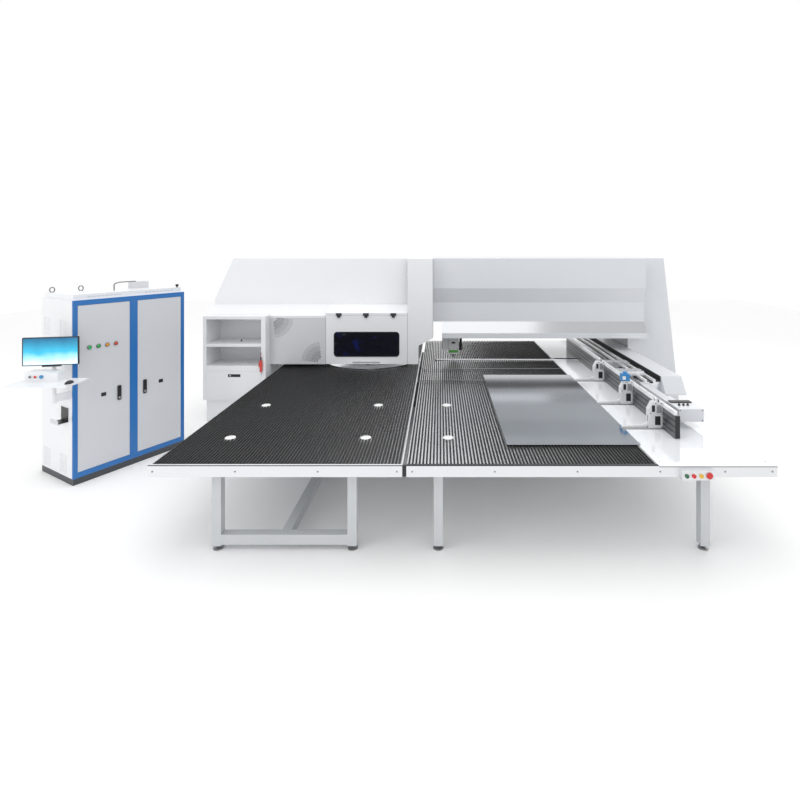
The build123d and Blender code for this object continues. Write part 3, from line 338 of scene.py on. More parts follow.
def brush_field(name, left, right, tuft_head):
    """The holder strips and bristle bundles of one table; fuller tufts hide more of the bed plate."""
    holders = bmesh.new()
    tips = []
    step = 0.010
    for x in row_places(left, right):
        back = table_back if x > left_step_x + 2 * row_half else left_step
        run = None
        y = brush_front
        while y < back:
            if open_here(x, y):
                if run is not None and y - run > 0.02:
                    bar(holders, (x - row_half, run, brush_low[2]), (x + row_half, y - step, holder_top),
                        0.001)
                run = None
            elif run is None:
                run = y
            y += step
        if run is not None:
            bar(holders, (x - row_half, run, brush_low[2]), (x + row_half, back, holder_top), 0.001)
        tufts = int((back - brush_front) // tuft_pitch)
        tips += [(x, brush_front + (i + 0.5) * tuft_pitch, holder_top - 0.001) for i in range(tufts)
                 if not open_here(x, brush_front + (i + 0.5) * tuft_pitch)]
    strips = placed(name + "_brush_holders", holders, "machine", black_plastic)
    bundles = repeated(name + "_brush_bundles", tips, "machine", bristle, (0, 0, 1), 0.0050, tuft_head,
                       tip_z - holder_top, sides=4, unevenness=0.06)
    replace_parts(strips, "brush_strips")
    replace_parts(bundles, "brush_strips")


brush_field("left", table_left, gap_left, 0.0135)
brush_field("right", gap_right, brush_right, 0.0090)
# Two dark bars lie over the brush tips where the rows look darker; their dark colour is painted shade. A
# bright strip edges each bar.
seam_places = (-0.76, -1.41)
seam_half = 0.012
seams = bmesh.new()
edges = bmesh.new()
for y in seam_places:
    bar(seams, (gap_right, y - seam_half, tip_z - 0.004), (brush_right, y + seam_half, tip_z + 0.0002))
    bar(edges, (gap_right, y + seam_half, tip_z - 0.004), (brush_right, y + seam_half + 0.006, tip_z))
placed("brush_seam_shade_bars", seams, "machine", brush_seam_shade)
placed("brush_seam_edges", edges, "machine", rail_metal)

# Deck plate
# One folded plate in gloss white closes the right side of the table, under the feed.
# It is held by small countersunk screws along its edges.
deck_paint = finish_of("gloss_white_deck", (0.84, 0.86, 0.89), 0.07, grain=300, mottle=0.02,
                       relief=0.008, gloss_spread=0.03, coat=0.5)
dress(deck_paint, "deck_plate")
deck_top = deck_high[2]
deck_screws = [(deck_right - 0.05, table_front + 0.08 + 0.42 * i, deck_top) for i in range(13)]
deck_screws += [(brush_right + 0.04, table_front + 0.08 + 0.42 * i, deck_top) for i in range(9)]
repeated("deck_screws", deck_screws, "machine", screw_steel, (0, 0, 1), 0.007, 0.006, 0.001, sides=12)

# Punch frame, turrets and ram
# The heavy frame is a weldment in dark grey; the two turrets are turned and ground steel.
heavy_paint = finish_of("dark_frame_paint", (0.10, 0.105, 0.11), 0.5, grain=500, mottle=0.1)
turret_steel = finish_of("turret_steel", (0.42, 0.43, 0.45), 0.3, metallic=1.0, grain=260)
dress(heavy_paint, "machine_frame", "ram_head")
dress(turret_steel, "lower_turret", "upper_turret")
dress(bright_steel, "ram")

# Covers
# Folded sheet covers, powder coated white, hide the frame; a stainless bevel runs under the bridge.
# The front panel breathes through two fans of small perforations.
cover_white = finish_of("white_powder_coat", (0.80, 0.81, 0.83), 0.28, grain=1100, mottle=0.012,
                        relief=0.03, gloss_spread=0.05)
bridge_grey = finish_of("bridge_powder_coat", (0.66, 0.68, 0.71), 0.26, grain=1100, mottle=0.012,
                        relief=0.03, gloss_spread=0.05)
panel_grey = finish_of("pale_grey_powder_coat", (0.60, 0.61, 0.64), 0.32, grain=1100, mottle=0.015,
                       relief=0.03)
stainless = finish_of("brushed_stainless", (0.50, 0.51, 0.53), 0.16, metallic=1.0, grain=90,
                      streak=(0.05, 6, 6), gloss_spread=0.06)
# The next finish is painted shade: near-black for the gaps at the cover joints and for the perforation holes.
opening_shade = finish_of("painted_opening_shade", (0.03, 0.03, 0.035), 0.5, grain=600)
dress(cover_white, "upper_cover", "door_hood", "corner_cover", "left_cover")
dress(bridge_grey, "bridge_cover", "end_cover")
dress(panel_grey, "front_panel")
dress(stainless, "bridge_bevel")
cover_front = -0.635
cover_foot = 0.838
panel_top = 1.584
door_seam_top = 1.63
cover_top = 2.463
panel_low, panel_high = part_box("front_panel")
corner_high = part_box("corner_cover")[1]
# Thin dark strips along the cover joints are painted shade of the narrow gaps there.
seams = bmesh.new()
bar(seams, (corner_high[0] - 0.004, cover_front - 0.001, 1.240),
    (corner_high[0] - 0.001, cover_front + 0.01, cover_top))
bar(seams, (panel_high[0] - 0.001, cover_front - 0.0005, cover_foot),
    (panel_high[0] + 0.003, cover_front + 0.004, panel_top))
bar(seams, (0.6315, cover_front - 0.0005, cover_foot), (0.635, cover_front + 0.004, door_seam_top))
placed("cover_seam_shade", seams, "machine", opening_shade)


def fan(corner, turn_round, rings, inner, ring_step, dot_step):
    """Points of one fan of perforations: arcs about a corner, denser near the middle of the fan."""
    dots = []
    for ring in range(rings):
        radius = inner + ring * ring_step
        count = int(radius * math.radians(78) / dot_step)
        for i in range(count):
            angle = math.radians(6 + 78 * (i + 0.5 * (ring % 2)) / count)
            x = corner[0] + turn_round * radius * math.cos(angle)
            z = corner[1] - turn_round * radius * math.sin(angle)
            dots.append((x, cover_front - 0.0002, z, ring / rings, angle))
    return dots


# Each perforation is a flat dark disc of painted shade on the panel, not a cut hole.
for name, corner, way in (("upper", (panel_low[0] + 0.045, 1.560), 1), ("lower", (-0.690, 0.862), -1)):
    dots = fan(corner, way, 13, 0.075, 0.0200, 0.0200)
    for size, low, high in (("large", 0.0, 0.45), ("middle", 0.45, 0.75), ("small", 0.75, 1.0)):
        radius = {"large": 0.0075, "middle": 0.0062, "small": 0.0046}[size]
        chosen = [dot[:3] for dot in dots if low <= dot[3] < high]
        repeated(f"{name}_perforations_{size}", chosen, "machine", opening_shade, (0, -1, 0), radius, radius,
                 0.0006,
                 sides=10)

# Punch door
# A folded door with a smoked window hangs on three black hinges and lifts by a bar handle.
# A rubber gasket holds the pane; a painted blue glow lies on the pane in cloudy patches.
window_glass = finish_of("smoked_window", (0.003, 0.004, 0.010), 0.06, grain=50, relief=0.0,
                         gloss_spread=0.02, coat=0.5)
tree = window_glass.node_tree
# The pane's blue emission in cloudy patches is painted light, a glow on the glass itself.
painted_glow_place = tree.nodes.new("ShaderNodeTexCoord")
painted_glow = tree.nodes.new("ShaderNodeTexNoise")
painted_glow.inputs["Scale"].default_value = 5.5
painted_glow.inputs["Detail"].default_value = 2
painted_glow_range = tree.nodes.new("ShaderNodeMapRange")
painted_glow_range.inputs["From Min"].default_value = 0.58
painted_glow_range.inputs["From Max"].default_value = 0.80
painted_glow_range.inputs["To Max"].default_value = 0.35
tree.links.new(painted_glow_place.outputs["Object"], painted_glow.inputs["Vector"])
tree.links.new(painted_glow.outputs["Fac"], painted_glow_range.inputs["Value"])
tree.links.new(painted_glow_range.outputs["Result"], tree.nodes["Principled BSDF"].inputs["Emission Strength"])
tree.nodes["Principled BSDF"].inputs["Emission Color"].default_value = (0.01, 0.02, 0.30, 1)
handle_grey = finish_of("satin_handle", (0.30, 0.31, 0.33), 0.3, metallic=0.9, grain=300,
                        streak=(0.2, 4, 4))
dress(cover_white, "punch_door")
dress(window_glass, "door_window")
dress(black_plastic, "hinge_frames", "hinge_leaves")
dress(handle_grey, "door_handle")


def tube(name, points, radius, body, material, closed=False, bend=3):
    """A round bar or gasket bent along a smooth line, as a plain mesh."""
    line = bpy.data.curves.new(name, "CURVE")
    line.dimensions = "3D"
    line.bevel_depth = radius
    line.bevel_resolution = 3
    line.use_fill_caps = not closed
    spline = line.splines.new("NURBS")
    spline.points.add(len(points) - 1)
    for point, where in zip(spline.points, points):
        point.co = (*where, 1)
    spline.order_u = bend
    spline.use_cyclic_u = closed
    spline.use_endpoint_u = not closed
    holder = bpy.data.objects.new(name + "_line", line)
    bpy.context.collection.objects.link(holder)
    graph = bpy.context.evaluated_depsgraph_get()
    mesh = bpy.data.meshes.new_from_object(holder.evaluated_get(graph))
    bpy.data.objects.remove(holder)
    mesh.name = name
    mesh.materials.clear()
    mesh.materials.append(material)
    for face in mesh.polygons:
        face.use_smooth = True
    piece = bpy.data.objects.new(name, mesh)
    bpy.context.collection.objects.link(piece)
    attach(piece, body)
    return piece


def rounded_loop(half_x, low_z, high_z, corner, y):
    """Points round a rounded rectangle in the door's plane."""
    loop = []
    for cx, cz, start in ((half_x - corner, high_z - corner, 0), (corner - half_x, high_z - corner, 90),
                          (corner - half_x, low_z + corner, 180), (half_x - corner, low_z + corner, 270)):
        for step in range(0, 91, 15):
            angle = math.radians(start + step)
            loop.append((cx + corner * math.cos(angle), y, cz + corner * math.sin(angle)))
    return loop


pane_low, pane_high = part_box("door_window")
gasket_loop = rounded_loop(pane_high[0] + 0.004, pane_low[2] - 0.004, pane_high[2] + 0.004, 0.049,
                           cover_front)
tube("window_gasket", gasket_loop, 0.006, "door", black_plastic, closed=True)
hinge_places = (-0.430, -0.010, 0.414)
hinge_bolt_z = 1.613
hinge_bolts = [(x + dx, cover_front - 0.006, hinge_bolt_z)
               for x in hinge_places for dx in (-0.03, 0.0, 0.03)]
repeated("hinge_bolts", hinge_bolts, "machine", screw_steel, (0, -1, 0), 0.0045, 0.004, 0.003, sides=10)

# Laser head
# A white housing rides on a vertical slide and ends in a turned nozzle.
# Green bands mark its two covers; a corrugated gaiter protects the supply lines beside it.
laser_white = finish_of("laser_white", (0.80, 0.81, 0.82), 0.28, grain=900)
laser_green = finish_of("laser_green_band", (0.10, 0.42, 0.07), 0.3, grain=900)
dress(laser_white, "laser_housing")
dress(bright_steel, "laser_slide", "laser_nozzle")
laser_x = 1.360
laser_front = -0.070
laser_half = 0.078
bands = bmesh.new()
bar(bands, (laser_x - laser_half, laser_front - 0.0015, 0.891),
    (laser_x + laser_half, laser_front + 0.002, 0.935), 0.001)
bar(bands, (laser_x - laser_half, laser_front - 0.0015, 1.255),
    (laser_x + laser_half, laser_front + 0.002, 1.300), 0.001)
placed("laser_bands", bands, "laser_head", laser_green)
badge = bmesh.new()
turned(badge, (laser_x - 0.018, laser_front, 1.056), (0, -1, 0), ((0, 0.014), (0.0015, 0.013)))
turned(badge, (laser_x + 0.018, laser_front, 1.056), (0, -1, 0), ((0, 0.014), (0.0015, 0.013)))
bar(badge, (laser_x - 0.018, laser_front - 0.0015, 1.043), (laser_x + 0.018, laser_front + 0.001, 1.069),
    0.0005)
placed("laser_badge_plate", badge, "laser_head", black_plastic)
laser_screws = [(laser_x + sx * 0.066, laser_front, z) for sx in (-1, 1) for z in (0.955, 1.15, 1.235)]
repeated("laser_screws", laser_screws, "laser_head", black_plastic, (0, -1, 0), 0.007, 0.0065, 0.003,
         sides=12)
gaiter = bmesh.new()
ribs = [(0.010 * i, 0.026 if i % 2 else 0.020) for i in range(34)]
turned(gaiter, (laser_x + 0.122, -0.005, 0.955), (0, 0, 1), ribs, sides=20)
bar(gaiter, (laser_x + 0.089, -0.03, 0.925), (laser_x + 0.15, 0.02, 0.957))
placed("laser_gaiter", gaiter, "laser_head", black_plastic)

# Feed beam, clamps and guide
# A dark slotted beam with a bright rail carries three work clamps and slides on an aluminium guide bed.
# Each clamp is a white casting with a pneumatic cylinder; the middle one carries a blue sensor unit.
dark_profile = finish_of("dark_anodised_beam", (0.16, 0.165, 0.17), 0.3, metallic=0.6, grain=160,
                         streak=(4, 0.05, 4))
aluminium = finish_of("milled_aluminium", (0.76, 0.77, 0.79), 0.22, metallic=0.9, grain=180,
                      streak=(4, 0.08, 4))
white_rail = finish_of("bright_way_cover", (0.86, 0.87, 0.88), 0.18, metallic=0.25, grain=180,
                       streak=(4, 0.08, 4))
clamp_white = finish_of("clamp_casting", (0.74, 0.75, 0.76), 0.28, metallic=0.2, grain=600)
sheet_steel = finish_of("cold_rolled_sheet", (0.46, 0.48, 0.50), 0.10, metallic=1.0, grain=70,
                        streak=(5, 0.1, 1), mottle=0.06, gloss_spread=0.05)
sensor_blue = finish_of("sensor_blue", (0.03, 0.22, 0.52), 0.3, grain=500, coat=0.2)
dress(dark_profile, "feed_beam")
dress(white_rail, "beam_rail", "guide_rail")
dress(aluminium, "beam_carriages", "guide_bed")
dress(bridge_grey, "guide_cover", "valve_box")
dress(clamp_white, "clamp_bodies", "clamp_jaws")
dress(sheet_steel, "sheet_metal")
clamp_places = (-3.190, -2.417, -1.417)
clamp_low, clamp_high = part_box("clamp_bodies")
beam_low, beam_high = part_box("feed_beam")
jaw_tip = clamp_low[0]
clamp_left = 3.262
half = 0.035
dark = bmesh.new()
bright = bmesh.new()
for y in clamp_places:
    near = y - half
    bar(dark, (jaw_tip, near - 0.010, clamp_low[2] + 0.0002),
        (beam_low[0], near - 0.001, clamp_low[2] + 0.0038))
    bar(dark, (jaw_tip, y + half + 0.001, clamp_low[2] + 0.0002),
        (beam_low[0], y + half + 0.010, clamp_low[2] + 0.0038))
    bar(dark, (clamp_left + 0.062, near - 0.0015, 0.835), (clamp_left + 0.118, near + 0.002, 0.925))
    bar(dark, (clamp_left + 0.030, near - 0.0015, 0.968), (clamp_left + 0.062, near + 0.002, 1.035))
    bar(bright, (clamp_left + 0.075, near - 0.003, 0.958), (clamp_left + 0.130, near + 0.002, 1.042), 0.004)
    turned(bright, (clamp_left + 0.085, y, clamp_high[2]), (0, 0, 1),
           ((0, 0.022), (0.006, 0.022), (0.008, 0.019), (0.034, 0.019), (0.038, 0.014), (0.050, 0.008)))
    turned(dark, (clamp_left + 0.105, y - 0.018, clamp_high[2]), (0, -0.3, 1),
           ((0, 0.006), (0.018, 0.006), (0.020, 0.004), (0.030, 0.004)), sides=12)
placed("clamp_wear_strips", dark, "feed_beam", black_plastic)
placed("clamp_cylinders", bright, "feed_beam", aluminium)
clamp_screws = [(clamp_left + dx, y - half, z) for y in clamp_places
                for dx, z in ((0.020, 0.955), (0.128, 1.054), (0.070, 1.054), (0.128, 0.815), (0.128, 0.945))]
repeated("clamp_screws", clamp_screws, "feed_beam", screw_steel, (0, -1, 0), 0.006, 0.0055, 0.004, sides=12)
sensor = bmesh.new()
bar(sensor, (clamp_left + 0.010, clamp_places[1] - 0.030, clamp_high[2] + 0.002),
    (clamp_left + 0.112, clamp_places[1] + 0.034, clamp_high[2] + 0.085), 0.006)
turned(sensor, (clamp_left + 0.062, clamp_places[1], clamp_high[2] + 0.085), (0, 0, 1),
       ((0, 0.026), (0.010, 0.026), (0.014, 0.020), (0.026, 0.018)))
placed("clamp_sensor", sensor, "feed_beam", sensor_blue)
sensor_face = bmesh.new()
bar(sensor_face, (clamp_left + 0.022, clamp_places[1] - 0.0315, clamp_high[2] + 0.020),
    (clamp_left + 0.060, clamp_places[1] - 0.029, clamp_high[2] + 0.060), 0.001)
placed("clamp_sensor_plate", sensor_face, "feed_beam", white_moulding)
grooves = bmesh.new()
for z in (0.8553, 0.9103, 0.9653):
    for x in (beam_low[0] + 0.004, beam_high[0] - 0.004):
        bar(grooves, (x - 0.002, beam_low[1] + 0.004, z - 0.0058),
            (x + 0.002, beam_high[1] - 0.004, z + 0.0058))
placed("beam_slot_strips", grooves, "feed_beam", black_plastic)
beam_end = bmesh.new()
bar(beam_end, (beam_low[0] + 0.002, beam_low[1] - 0.0008, beam_low[2] + 0.004),
    (beam_high[0] - 0.002, beam_low[1] + 0.003, beam_high[2] - 0.004))
placed("beam_end_cap", beam_end, "feed_beam", black_plastic)
rail_low_corner, rail_high_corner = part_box("beam_rail")
rail_plugs = [((rail_low_corner[0] + rail_high_corner[0]) / 2, rail_low_corner[1] + 0.05 + 0.2 * i,
               rail_high_corner[2]) for i in range(20)]
repeated("beam_rail_screws", rail_plugs, "feed_beam", screw_steel, (0, 0, 1), 0.006, 0.0055, 0.001, sides=12)

ways_low, ways_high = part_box("guide_rail")
cover_low, cover_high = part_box("guide_cover")
bed_top = ways_low[2]
# The dark strips on the guide bed, beside and between the rails and along the cover's edge, are painted shade
# of the gaps and recesses there.
recess_shade = bmesh.new()
bar(recess_shade, (ways_low[0] - 0.046, ways_low[1] + 0.004, bed_top),
    (ways_low[0] - 0.006, ways_high[1], bed_top + 0.003))
bar(recess_shade, (ways_high[0] + 0.006, ways_low[1] + 0.004, bed_top),
    (cover_low[0] - 0.001, ways_high[1], bed_top + 0.003))
bar(recess_shade, (ways_low[0] + 0.040, ways_low[1] + 0.004, bed_top),
    (ways_high[0] - 0.040, ways_high[1], bed_top + 0.002))
bar(recess_shade, (cover_low[0] - 0.0015, ways_low[1] + 0.01, bed_top + 0.004),
    (cover_low[0] + 0.002, ways_high[1], cover_high[2] - 0.002))
placed("guide_recess_shade", recess_shade, "feed_guide", black_plastic)
way_places = (3.757, 3.868)
way_plugs = [(x, ways_low[1] + 0.06 + 0.16 * i, ways_high[2]) for x in way_places for i in range(26)]
repeated("guide_rail_screws", way_plugs, "feed_guide", screw_steel, (0, 0, 1), 0.006, 0.0055, 0.0008,
         sides=12)
box_low, box_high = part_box("valve_box")
box_screws = [(x, box_low[1], z) for x in (box_low[0] + 0.012, box_high[0] - 0.012) for z in (0.880, 0.985)]
repeated("valve_box_screws", box_screws, "feed_guide", black_plastic, (0, -1, 0), 0.006, 0.005, 0.004,
         sides=12)
box_trim = bmesh.new()
for i in range(3):
    turned(box_trim, (box_low[0] + 0.06 + 0.045 * i, box_low[1] + 0.12, box_high[2]), (0, 0, 1),
           ((0, 0.013), (0.010, 0.013), (0.012, 0.009), (0.022, 0.009)), sides=16)
bar(box_trim, (box_low[0] + 0.01, box_low[1] + 0.20, box_high[2] - 0.001),
    (box_high[0] - 0.02, box_low[1] + 0.262, box_high[2] + 0.012))
placed("valve_box_fittings", box_trim, "feed_guide", black_plastic)
carriage_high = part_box("beam_carriages")[1]
carriage_bolts = [(x, y + dy, carriage_high[2]) for x in (3.475, 3.60, 3.70, 3.79) for y in (-1.8, -1.3)
                  for dy in (0.025, 0.135)]
repeated("carriage_bolts", carriage_bolts, "feed_beam", screw_steel, (0, 0, 1), 0.008, 0.0075, 0.006,
         sides=12)

# Control strip
# Four push buttons stand in an extruded strip at the operator's corner of the table.
# The mushroom head is domed; each push button sits in a bright bezel.
green_cap = finish_of("green_button_cap", (0.008, 0.12, 0.05), 0.22, grain=400, coat=0.4)
red_cap = finish_of("red_button_cap", (0.60, 0.012, 0.010), 0.22, grain=400, coat=0.4)
yellow_cap = finish_of("yellow_button_cap", (0.72, 0.42, 0.02), 0.22, grain=400, coat=0.4)
dress(rail_metal, "control_strip")
dress(green_cap, "start_button")
dress(red_cap, "stop_button")
dress(yellow_cap, "reset_button")
strip_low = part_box("control_strip")[0]
bezels = bmesh.new()
button_z = 0.731
push_button_places = (3.200, 3.259, 3.321)
mushroom_x = 3.392
for x in push_button_places:
    turned(bezels, (x, strip_low[1] + 0.001, button_z), (0, -1, 0),
           ((0, 0.0235), (0.004, 0.0235), (0.0065, 0.020)))
placed("button_bezels", bezels, "machine", bright_steel)
mushroom_low, mushroom_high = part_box("emergency_button")
mushroom = bmesh.new()
deep = mushroom_high[1] - mushroom_low[1]
turned(mushroom, (mushroom_x, mushroom_high[1], button_z), (0, -1, 0),
       ((0, 0.012), (deep - 0.012, 0.012), (deep - 0.0115, 0.026), (deep - 0.008, 0.028),
        (deep - 0.004, 0.025),
        (deep - 0.0015, 0.018), (deep, 0.006)), sides=32)
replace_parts(placed("mushroom_head", mushroom, "emergency_button", red_cap, True), "emergency_button")

# Tool cabinet, drawer and air gun
# An open steel shelf unit with one locked drawer; the red air gun hangs on its front edge.
# The drawer's lock sits in a black plate with a bright barrel.
gun_red = finish_of("air_gun_red", (0.58, 0.03, 0.02), 0.28, grain=500, coat=0.3)
dress(cover_white, "tool_cabinet", "tool_drawer")
dress(gun_red, "air_gun")
drawer_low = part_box("tool_drawer")[0]
lock = bmesh.new()
bar(lock, (-2.065, drawer_low[1] - 0.0015, 0.684), (-1.878, drawer_low[1] + 0.002, 0.727), 0.001)
placed("drawer_lock_plate", lock, "drawer", black_plastic)
barrel = bmesh.new()
turned(barrel, (-2.030, drawer_low[1] - 0.0015, 0.7055), (0, -1, 0), ((0, 0.013), (0.003, 0.012)))
placed("drawer_lock", barrel, "drawer", bright_steel)
knob = bmesh.new()
turned(knob, (-1.950, -0.600, 1.185), (0, 0, 1), ((0, 0.010), (0.012, 0.010), (0.016, 0.014), (0.024, 0.012)))
placed("shelf_peg", knob, "machine", black_plastic)
nozzle = bmesh.new()
gun_x = -1.559
gun_y = -0.842
turned(nozzle, (gun_x, gun_y, 0.943), (0, 0, 1),
       ((0, 0.0095), (0.03, 0.0095), (0.036, 0.0078), (0.050, 0.0078)))
turned(nozzle, (gun_x, gun_y, 1.040), (0, 0, 1), ((0, 0.0055), (0.012, 0.0055), (0.0205, 0.0045)), sides=16)
placed("air_gun_nozzle", nozzle, "machine", black_plastic)
coupling = bmesh.new()
turned(coupling, (gun_x, gun_y, 0.7685), (0, 0, -1),
       ((0, 0.011), (0.02, 0.011), (0.024, 0.008), (0.046, 0.008)))
placed("air_gun_coupling", coupling, "machine", bright_steel)

# Electrical cabinet
# Two doors in a blue frame, on a dark plinth; lamps, latches and small plates are fitted to the doors.
# The roof carries a rain cap with vent slots, a cable pipe and two lifting eyes.
blue_paint = finish_of("blue_frame_paint", (0.022, 0.155, 0.45), 0.28, grain=1000, mottle=0.03)
door_grey = finish_of("cabinet_door_grey", (0.60, 0.615, 0.65), 0.26, grain=1000, mottle=0.02)
plinth_paint = finish_of("plinth_paint", (0.055, 0.06, 0.068), 0.45, grain=700)
dress(cover_white, "cabinet_shell")
dress(blue_paint, "cabinet_frame")
dress(door_grey, "cabinet_door_left", "cabinet_door_right")
dress(plinth_paint, "cabinet_plinth")
dress(black_plastic, "left_latch", "right_latch")
cabinet_place = Matrix.Translation((-2.926, -2.788, 0)) @ Matrix.Rotation(math.radians(60), 4, "Z")


def in_cabinet(u, v, z):
    """A world point from the cabinet's own measures: along its front, into its depth, and up."""
    return cabinet_place @ Vector((u, v, z))


outward = in_cabinet(0, -1, 0) - in_cabinet(0, 0, 0)
lamp_z = 1.508
lamp_colours = ((0.162, (0.01, 0.42, 0.10)), (0.255, (0.01, 0.36, 0.08)), (0.348, (0.65, 0.26, 0.02)),
                (0.441, (0.55, 0.06, 0.03)))
rings = bmesh.new()
for number, (u, colour) in enumerate(lamp_colours):
    lens_finish = finish_of(f"lamp_lens_{number}", colour, 0.15, grain=500, coat=0.6)
    lens = bmesh.new()
    turned(lens, in_cabinet(u, -0.0084, lamp_z), outward,
           ((0, 0.019), (0.0015, 0.018), (0.0028, 0.013), (0.0035, 0.005)))
    placed(f"lamp_lens_{number}", lens, "cabinet_door_left", lens_finish, True)
    turned(rings, in_cabinet(u, 0.002, lamp_z), outward,
           ((0, 0.025), (0.006, 0.025), (0.008, 0.0235), (0.0095, 0.0230), (0.0105, 0.0195)))
bezel_ring = placed("lamp_bezels", rings, "cabinet_door_left", screw_steel)
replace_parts(bezel_ring, "cabinet_lamps")
for side, body, latch_body, latch_u, plate_u in (("left", "cabinet_door_left", "left_latch", 0.478, 0.310),
                                                 ("right", "cabinet_door_right", "right_latch", 0.776,
                                                  0.978)):
    plate = bmesh.new()
    bar(plate, (plate_u - 0.027, -0.0005, 0.915), (plate_u + 0.027, 0.0025, 0.958), 0.001, turn=cabinet_place)
    placed(side + "_door_plate", plate, body, black_plastic)
    key = bmesh.new()
    turned(key, in_cabinet(latch_u, -0.0120, 0.858), outward, ((0, 0.015), (0.003, 0.0145), (0.0035, 0.010)))
    placed(side + "_latch_key", key, latch_body, bright_steel)
vents = bmesh.new()
for first in (0.16, 0.80):
    for i in range(8):
        u = first + 0.047 * i
        bar(vents, (u, 0.0392, 2.074), (u + 0.034, 0.042, 2.086), 0.0005, turn=cabinet_place)
placed("roof_vents", vents, "machine", panel_grey)
roof_top = 2.112
tube("roof_pipe", [in_cabinet(0.56, 0.28, z) for z in (roof_top - 0.002, roof_top + 0.05, roof_top + 0.08)]
     + [in_cabinet(u, 0.25, roof_top + 0.10) for u in (0.60, 0.68, 0.80)], 0.007, "machine", screw_steel)
roof_box = bmesh.new()
bar(roof_box, (0.84, 0.35, roof_top - 0.001), (1.02, 0.50, roof_top + 0.085), turn=cabinet_place)
placed("roof_fan_box", roof_box, "machine", panel_grey)
roof_knob = bmesh.new()
turned(roof_knob, in_cabinet(1.235, 0.07, roof_top), (0, 0, 1),
       ((0, 0.010), (0.01, 0.010), (0.02, 0.02), (0.04, 0.018)))
placed("roof_knob", roof_knob, "machine", black_plastic, True)
for number, (u, v) in enumerate(((0.05, 0.62), (0.34, 0.60))):
    eye_loop = [in_cabinet(u + 0.026 * math.cos(a), v, roof_top + 0.030 + 0.030 * math.sin(a))
                for a in (math.tau * i / 12 for i in range(12))]
    tube(f"lifting_eye_{number}", eye_loop, 0.006, "machine", screw_steel, closed=True)

# Console
# A screen, a keyboard tray and a small button box stand on a post at the cabinet's side.
# The screen shows a plain blue gradient; a mouse lies at the tray's right end.
screen_blue = bpy.data.materials.new("screen_gradient")
screen_blue.use_nodes = True
tree = screen_blue.node_tree
shader = tree.nodes["Principled BSDF"]
shader.inputs["Roughness"].default_value = 0.25
place = tree.nodes.new("ShaderNodeTexCoord")
split = tree.nodes.new("ShaderNodeSeparateXYZ")
cloud = tree.nodes.new("ShaderNodeTexNoise")
cloud.inputs["Scale"].default_value = 5.0
shift = tree.nodes.new("ShaderNodeMath")
shift.operation = "MULTIPLY_ADD"
shift.inputs[1].default_value = 0.10
height = tree.nodes.new("ShaderNodeMapRange")
height.inputs["From Min"].default_value = 1.43
height.inputs["From Max"].default_value = 1.74
ramp = tree.nodes.new("ShaderNodeValToRGB")
stops = ramp.color_ramp.elements
stops[0].color = (0.62, 0.84, 0.90, 1)
stops[1].color = (0.004, 0.05, 0.13, 1)
middle_stop = stops.new(0.45)
middle_stop.color = (0.03, 0.33, 0.50, 1)
link = tree.links.new
link(place.outputs["Object"], split.inputs["Vector"])
link(place.outputs["Object"], cloud.inputs["Vector"])
link(cloud.outputs["Fac"], shift.inputs[0])
link(split.outputs["Z"], shift.inputs[2])
link(shift.outputs[0], height.inputs["Value"])
link(height.outputs["Result"], ramp.inputs["Fac"])
link(ramp.outputs["Color"], shader.inputs["Base Color"])
link(ramp.outputs["Color"], shader.inputs["Emission Color"])
shader.inputs["Emission Strength"].default_value = 0.9
blue_cap = finish_of("blue_knob", (0.03, 0.24, 0.50), 0.3, grain=400, coat=0.3)
dress(cover_white, "console_stand")
dress(black_plastic, "monitor")
dress(blue_cap, "console_knob")
post = in_cabinet(-0.150, 0.065, 0)
screen_turn = Matrix.Rotation(math.radians(10), 4, "Z")
screen_place = Matrix.Translation((post.x, post.y, 1.528)) @ screen_turn
screen = bmesh.new()
bar(screen, (-0.2605, -0.0671, -0.1415), (0.2605, -0.0655, 0.1415), 0.0003, turn=screen_place)
placed("screen_glass", screen, "monitor", screen_blue)
chin = bmesh.new()
bar(chin, (-0.09, -0.058, -0.168), (0.09, -0.030, -0.149), turn=screen_place)
placed("screen_bracket", chin, "monitor", black_plastic)
box_face = post.y - 0.150 - 0.012
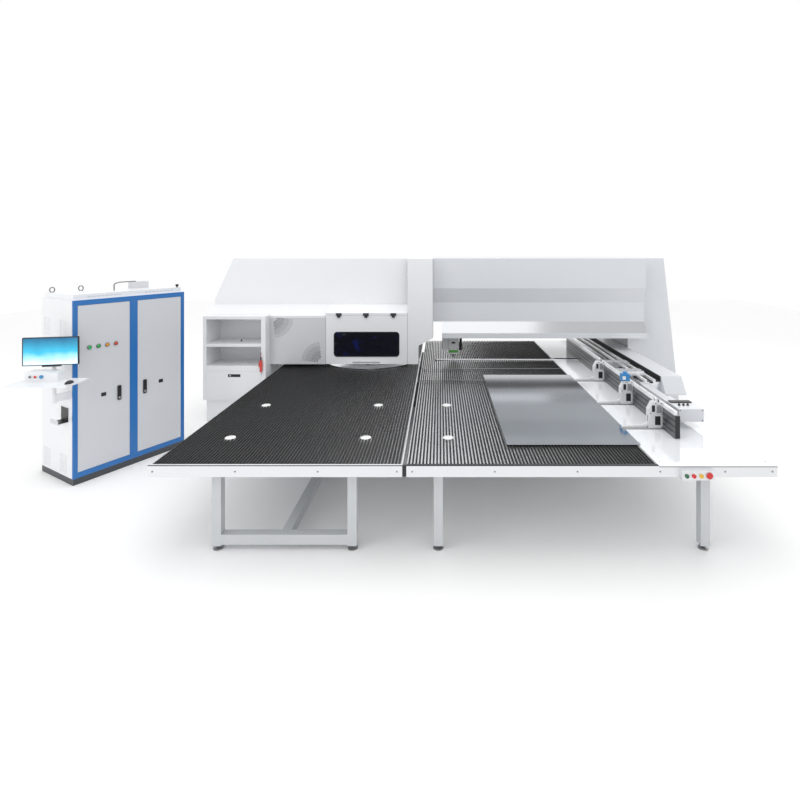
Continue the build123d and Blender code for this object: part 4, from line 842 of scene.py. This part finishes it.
caps = bmesh.new()
turned(caps, (post.x - 0.130, box_face, 1.276), (0, -1, 0), ((0, 0.014), (0.004, 0.014), (0.006, 0.011)))
placed("console_button_dark", caps, "machine", screw_steel)
caps = bmesh.new()
turned(caps, (post.x - 0.075, box_face, 1.276), (0, -1, 0), ((0, 0.014), (0.004, 0.014), (0.006, 0.011)))
placed("console_button_red", caps, "machine", red_cap)
tray_top = 1.221
mouse = bmesh.new()
bmesh.ops.create_uvsphere(mouse, u_segments=20, v_segments=12, radius=1.0,
                          matrix=Matrix.LocRotScale((post.x + 0.315, post.y - 0.20, tray_top + 0.001), None,
                                                    (0.032, 0.052, 0.030)))
cut = bmesh.ops.bisect_plane(mouse, geom=mouse.verts[:] + mouse.edges[:] + mouse.faces[:],
                             plane_co=(0, 0, tray_top), plane_no=(0, 0, 1), clear_inner=True)
rim = [item for item in cut["geom_cut"] if isinstance(item, bmesh.types.BMEdge)]
bmesh.ops.contextual_create(mouse, geom=rim)
placed("mouse", mouse, "machine", black_plastic, True)
shelf_trim = bmesh.new()
bar(shelf_trim, (-0.1095, 0.092, 0.6955), (-0.007, 0.258, 0.699), 0.001, turn=cabinet_place)
bar(shelf_trim, (-0.0085, 0.092, 0.699), (-0.0055, 0.258, 0.848), 0.001, turn=cabinet_place)
bar(shelf_trim, (-0.1040, 0.092, 0.699), (-0.1015, 0.258, 0.734), 0.001, turn=cabinet_place)
placed("console_shelf_lining", shelf_trim, "machine", black_plastic)
shelf_skin = bmesh.new()
bar(shelf_skin, (-0.1105, 0.0895, 0.690), (-0.1095, 0.2605, 0.735), 0.0003, turn=cabinet_place)
bar(shelf_skin, (-0.1100, 0.0890, 0.6895), (-0.0065, 0.0902, 0.6965), 0.0003, turn=cabinet_place)
placed("console_shelf_front", shelf_skin, "machine", panel_grey)
bracket = bmesh.new()
bar(bracket, (post.x - 0.075, post.y - 0.10, 1.188), (post.x + 0.065, post.y + 0.03, 1.2068))
placed("tray_bracket", bracket, "machine", black_plastic)
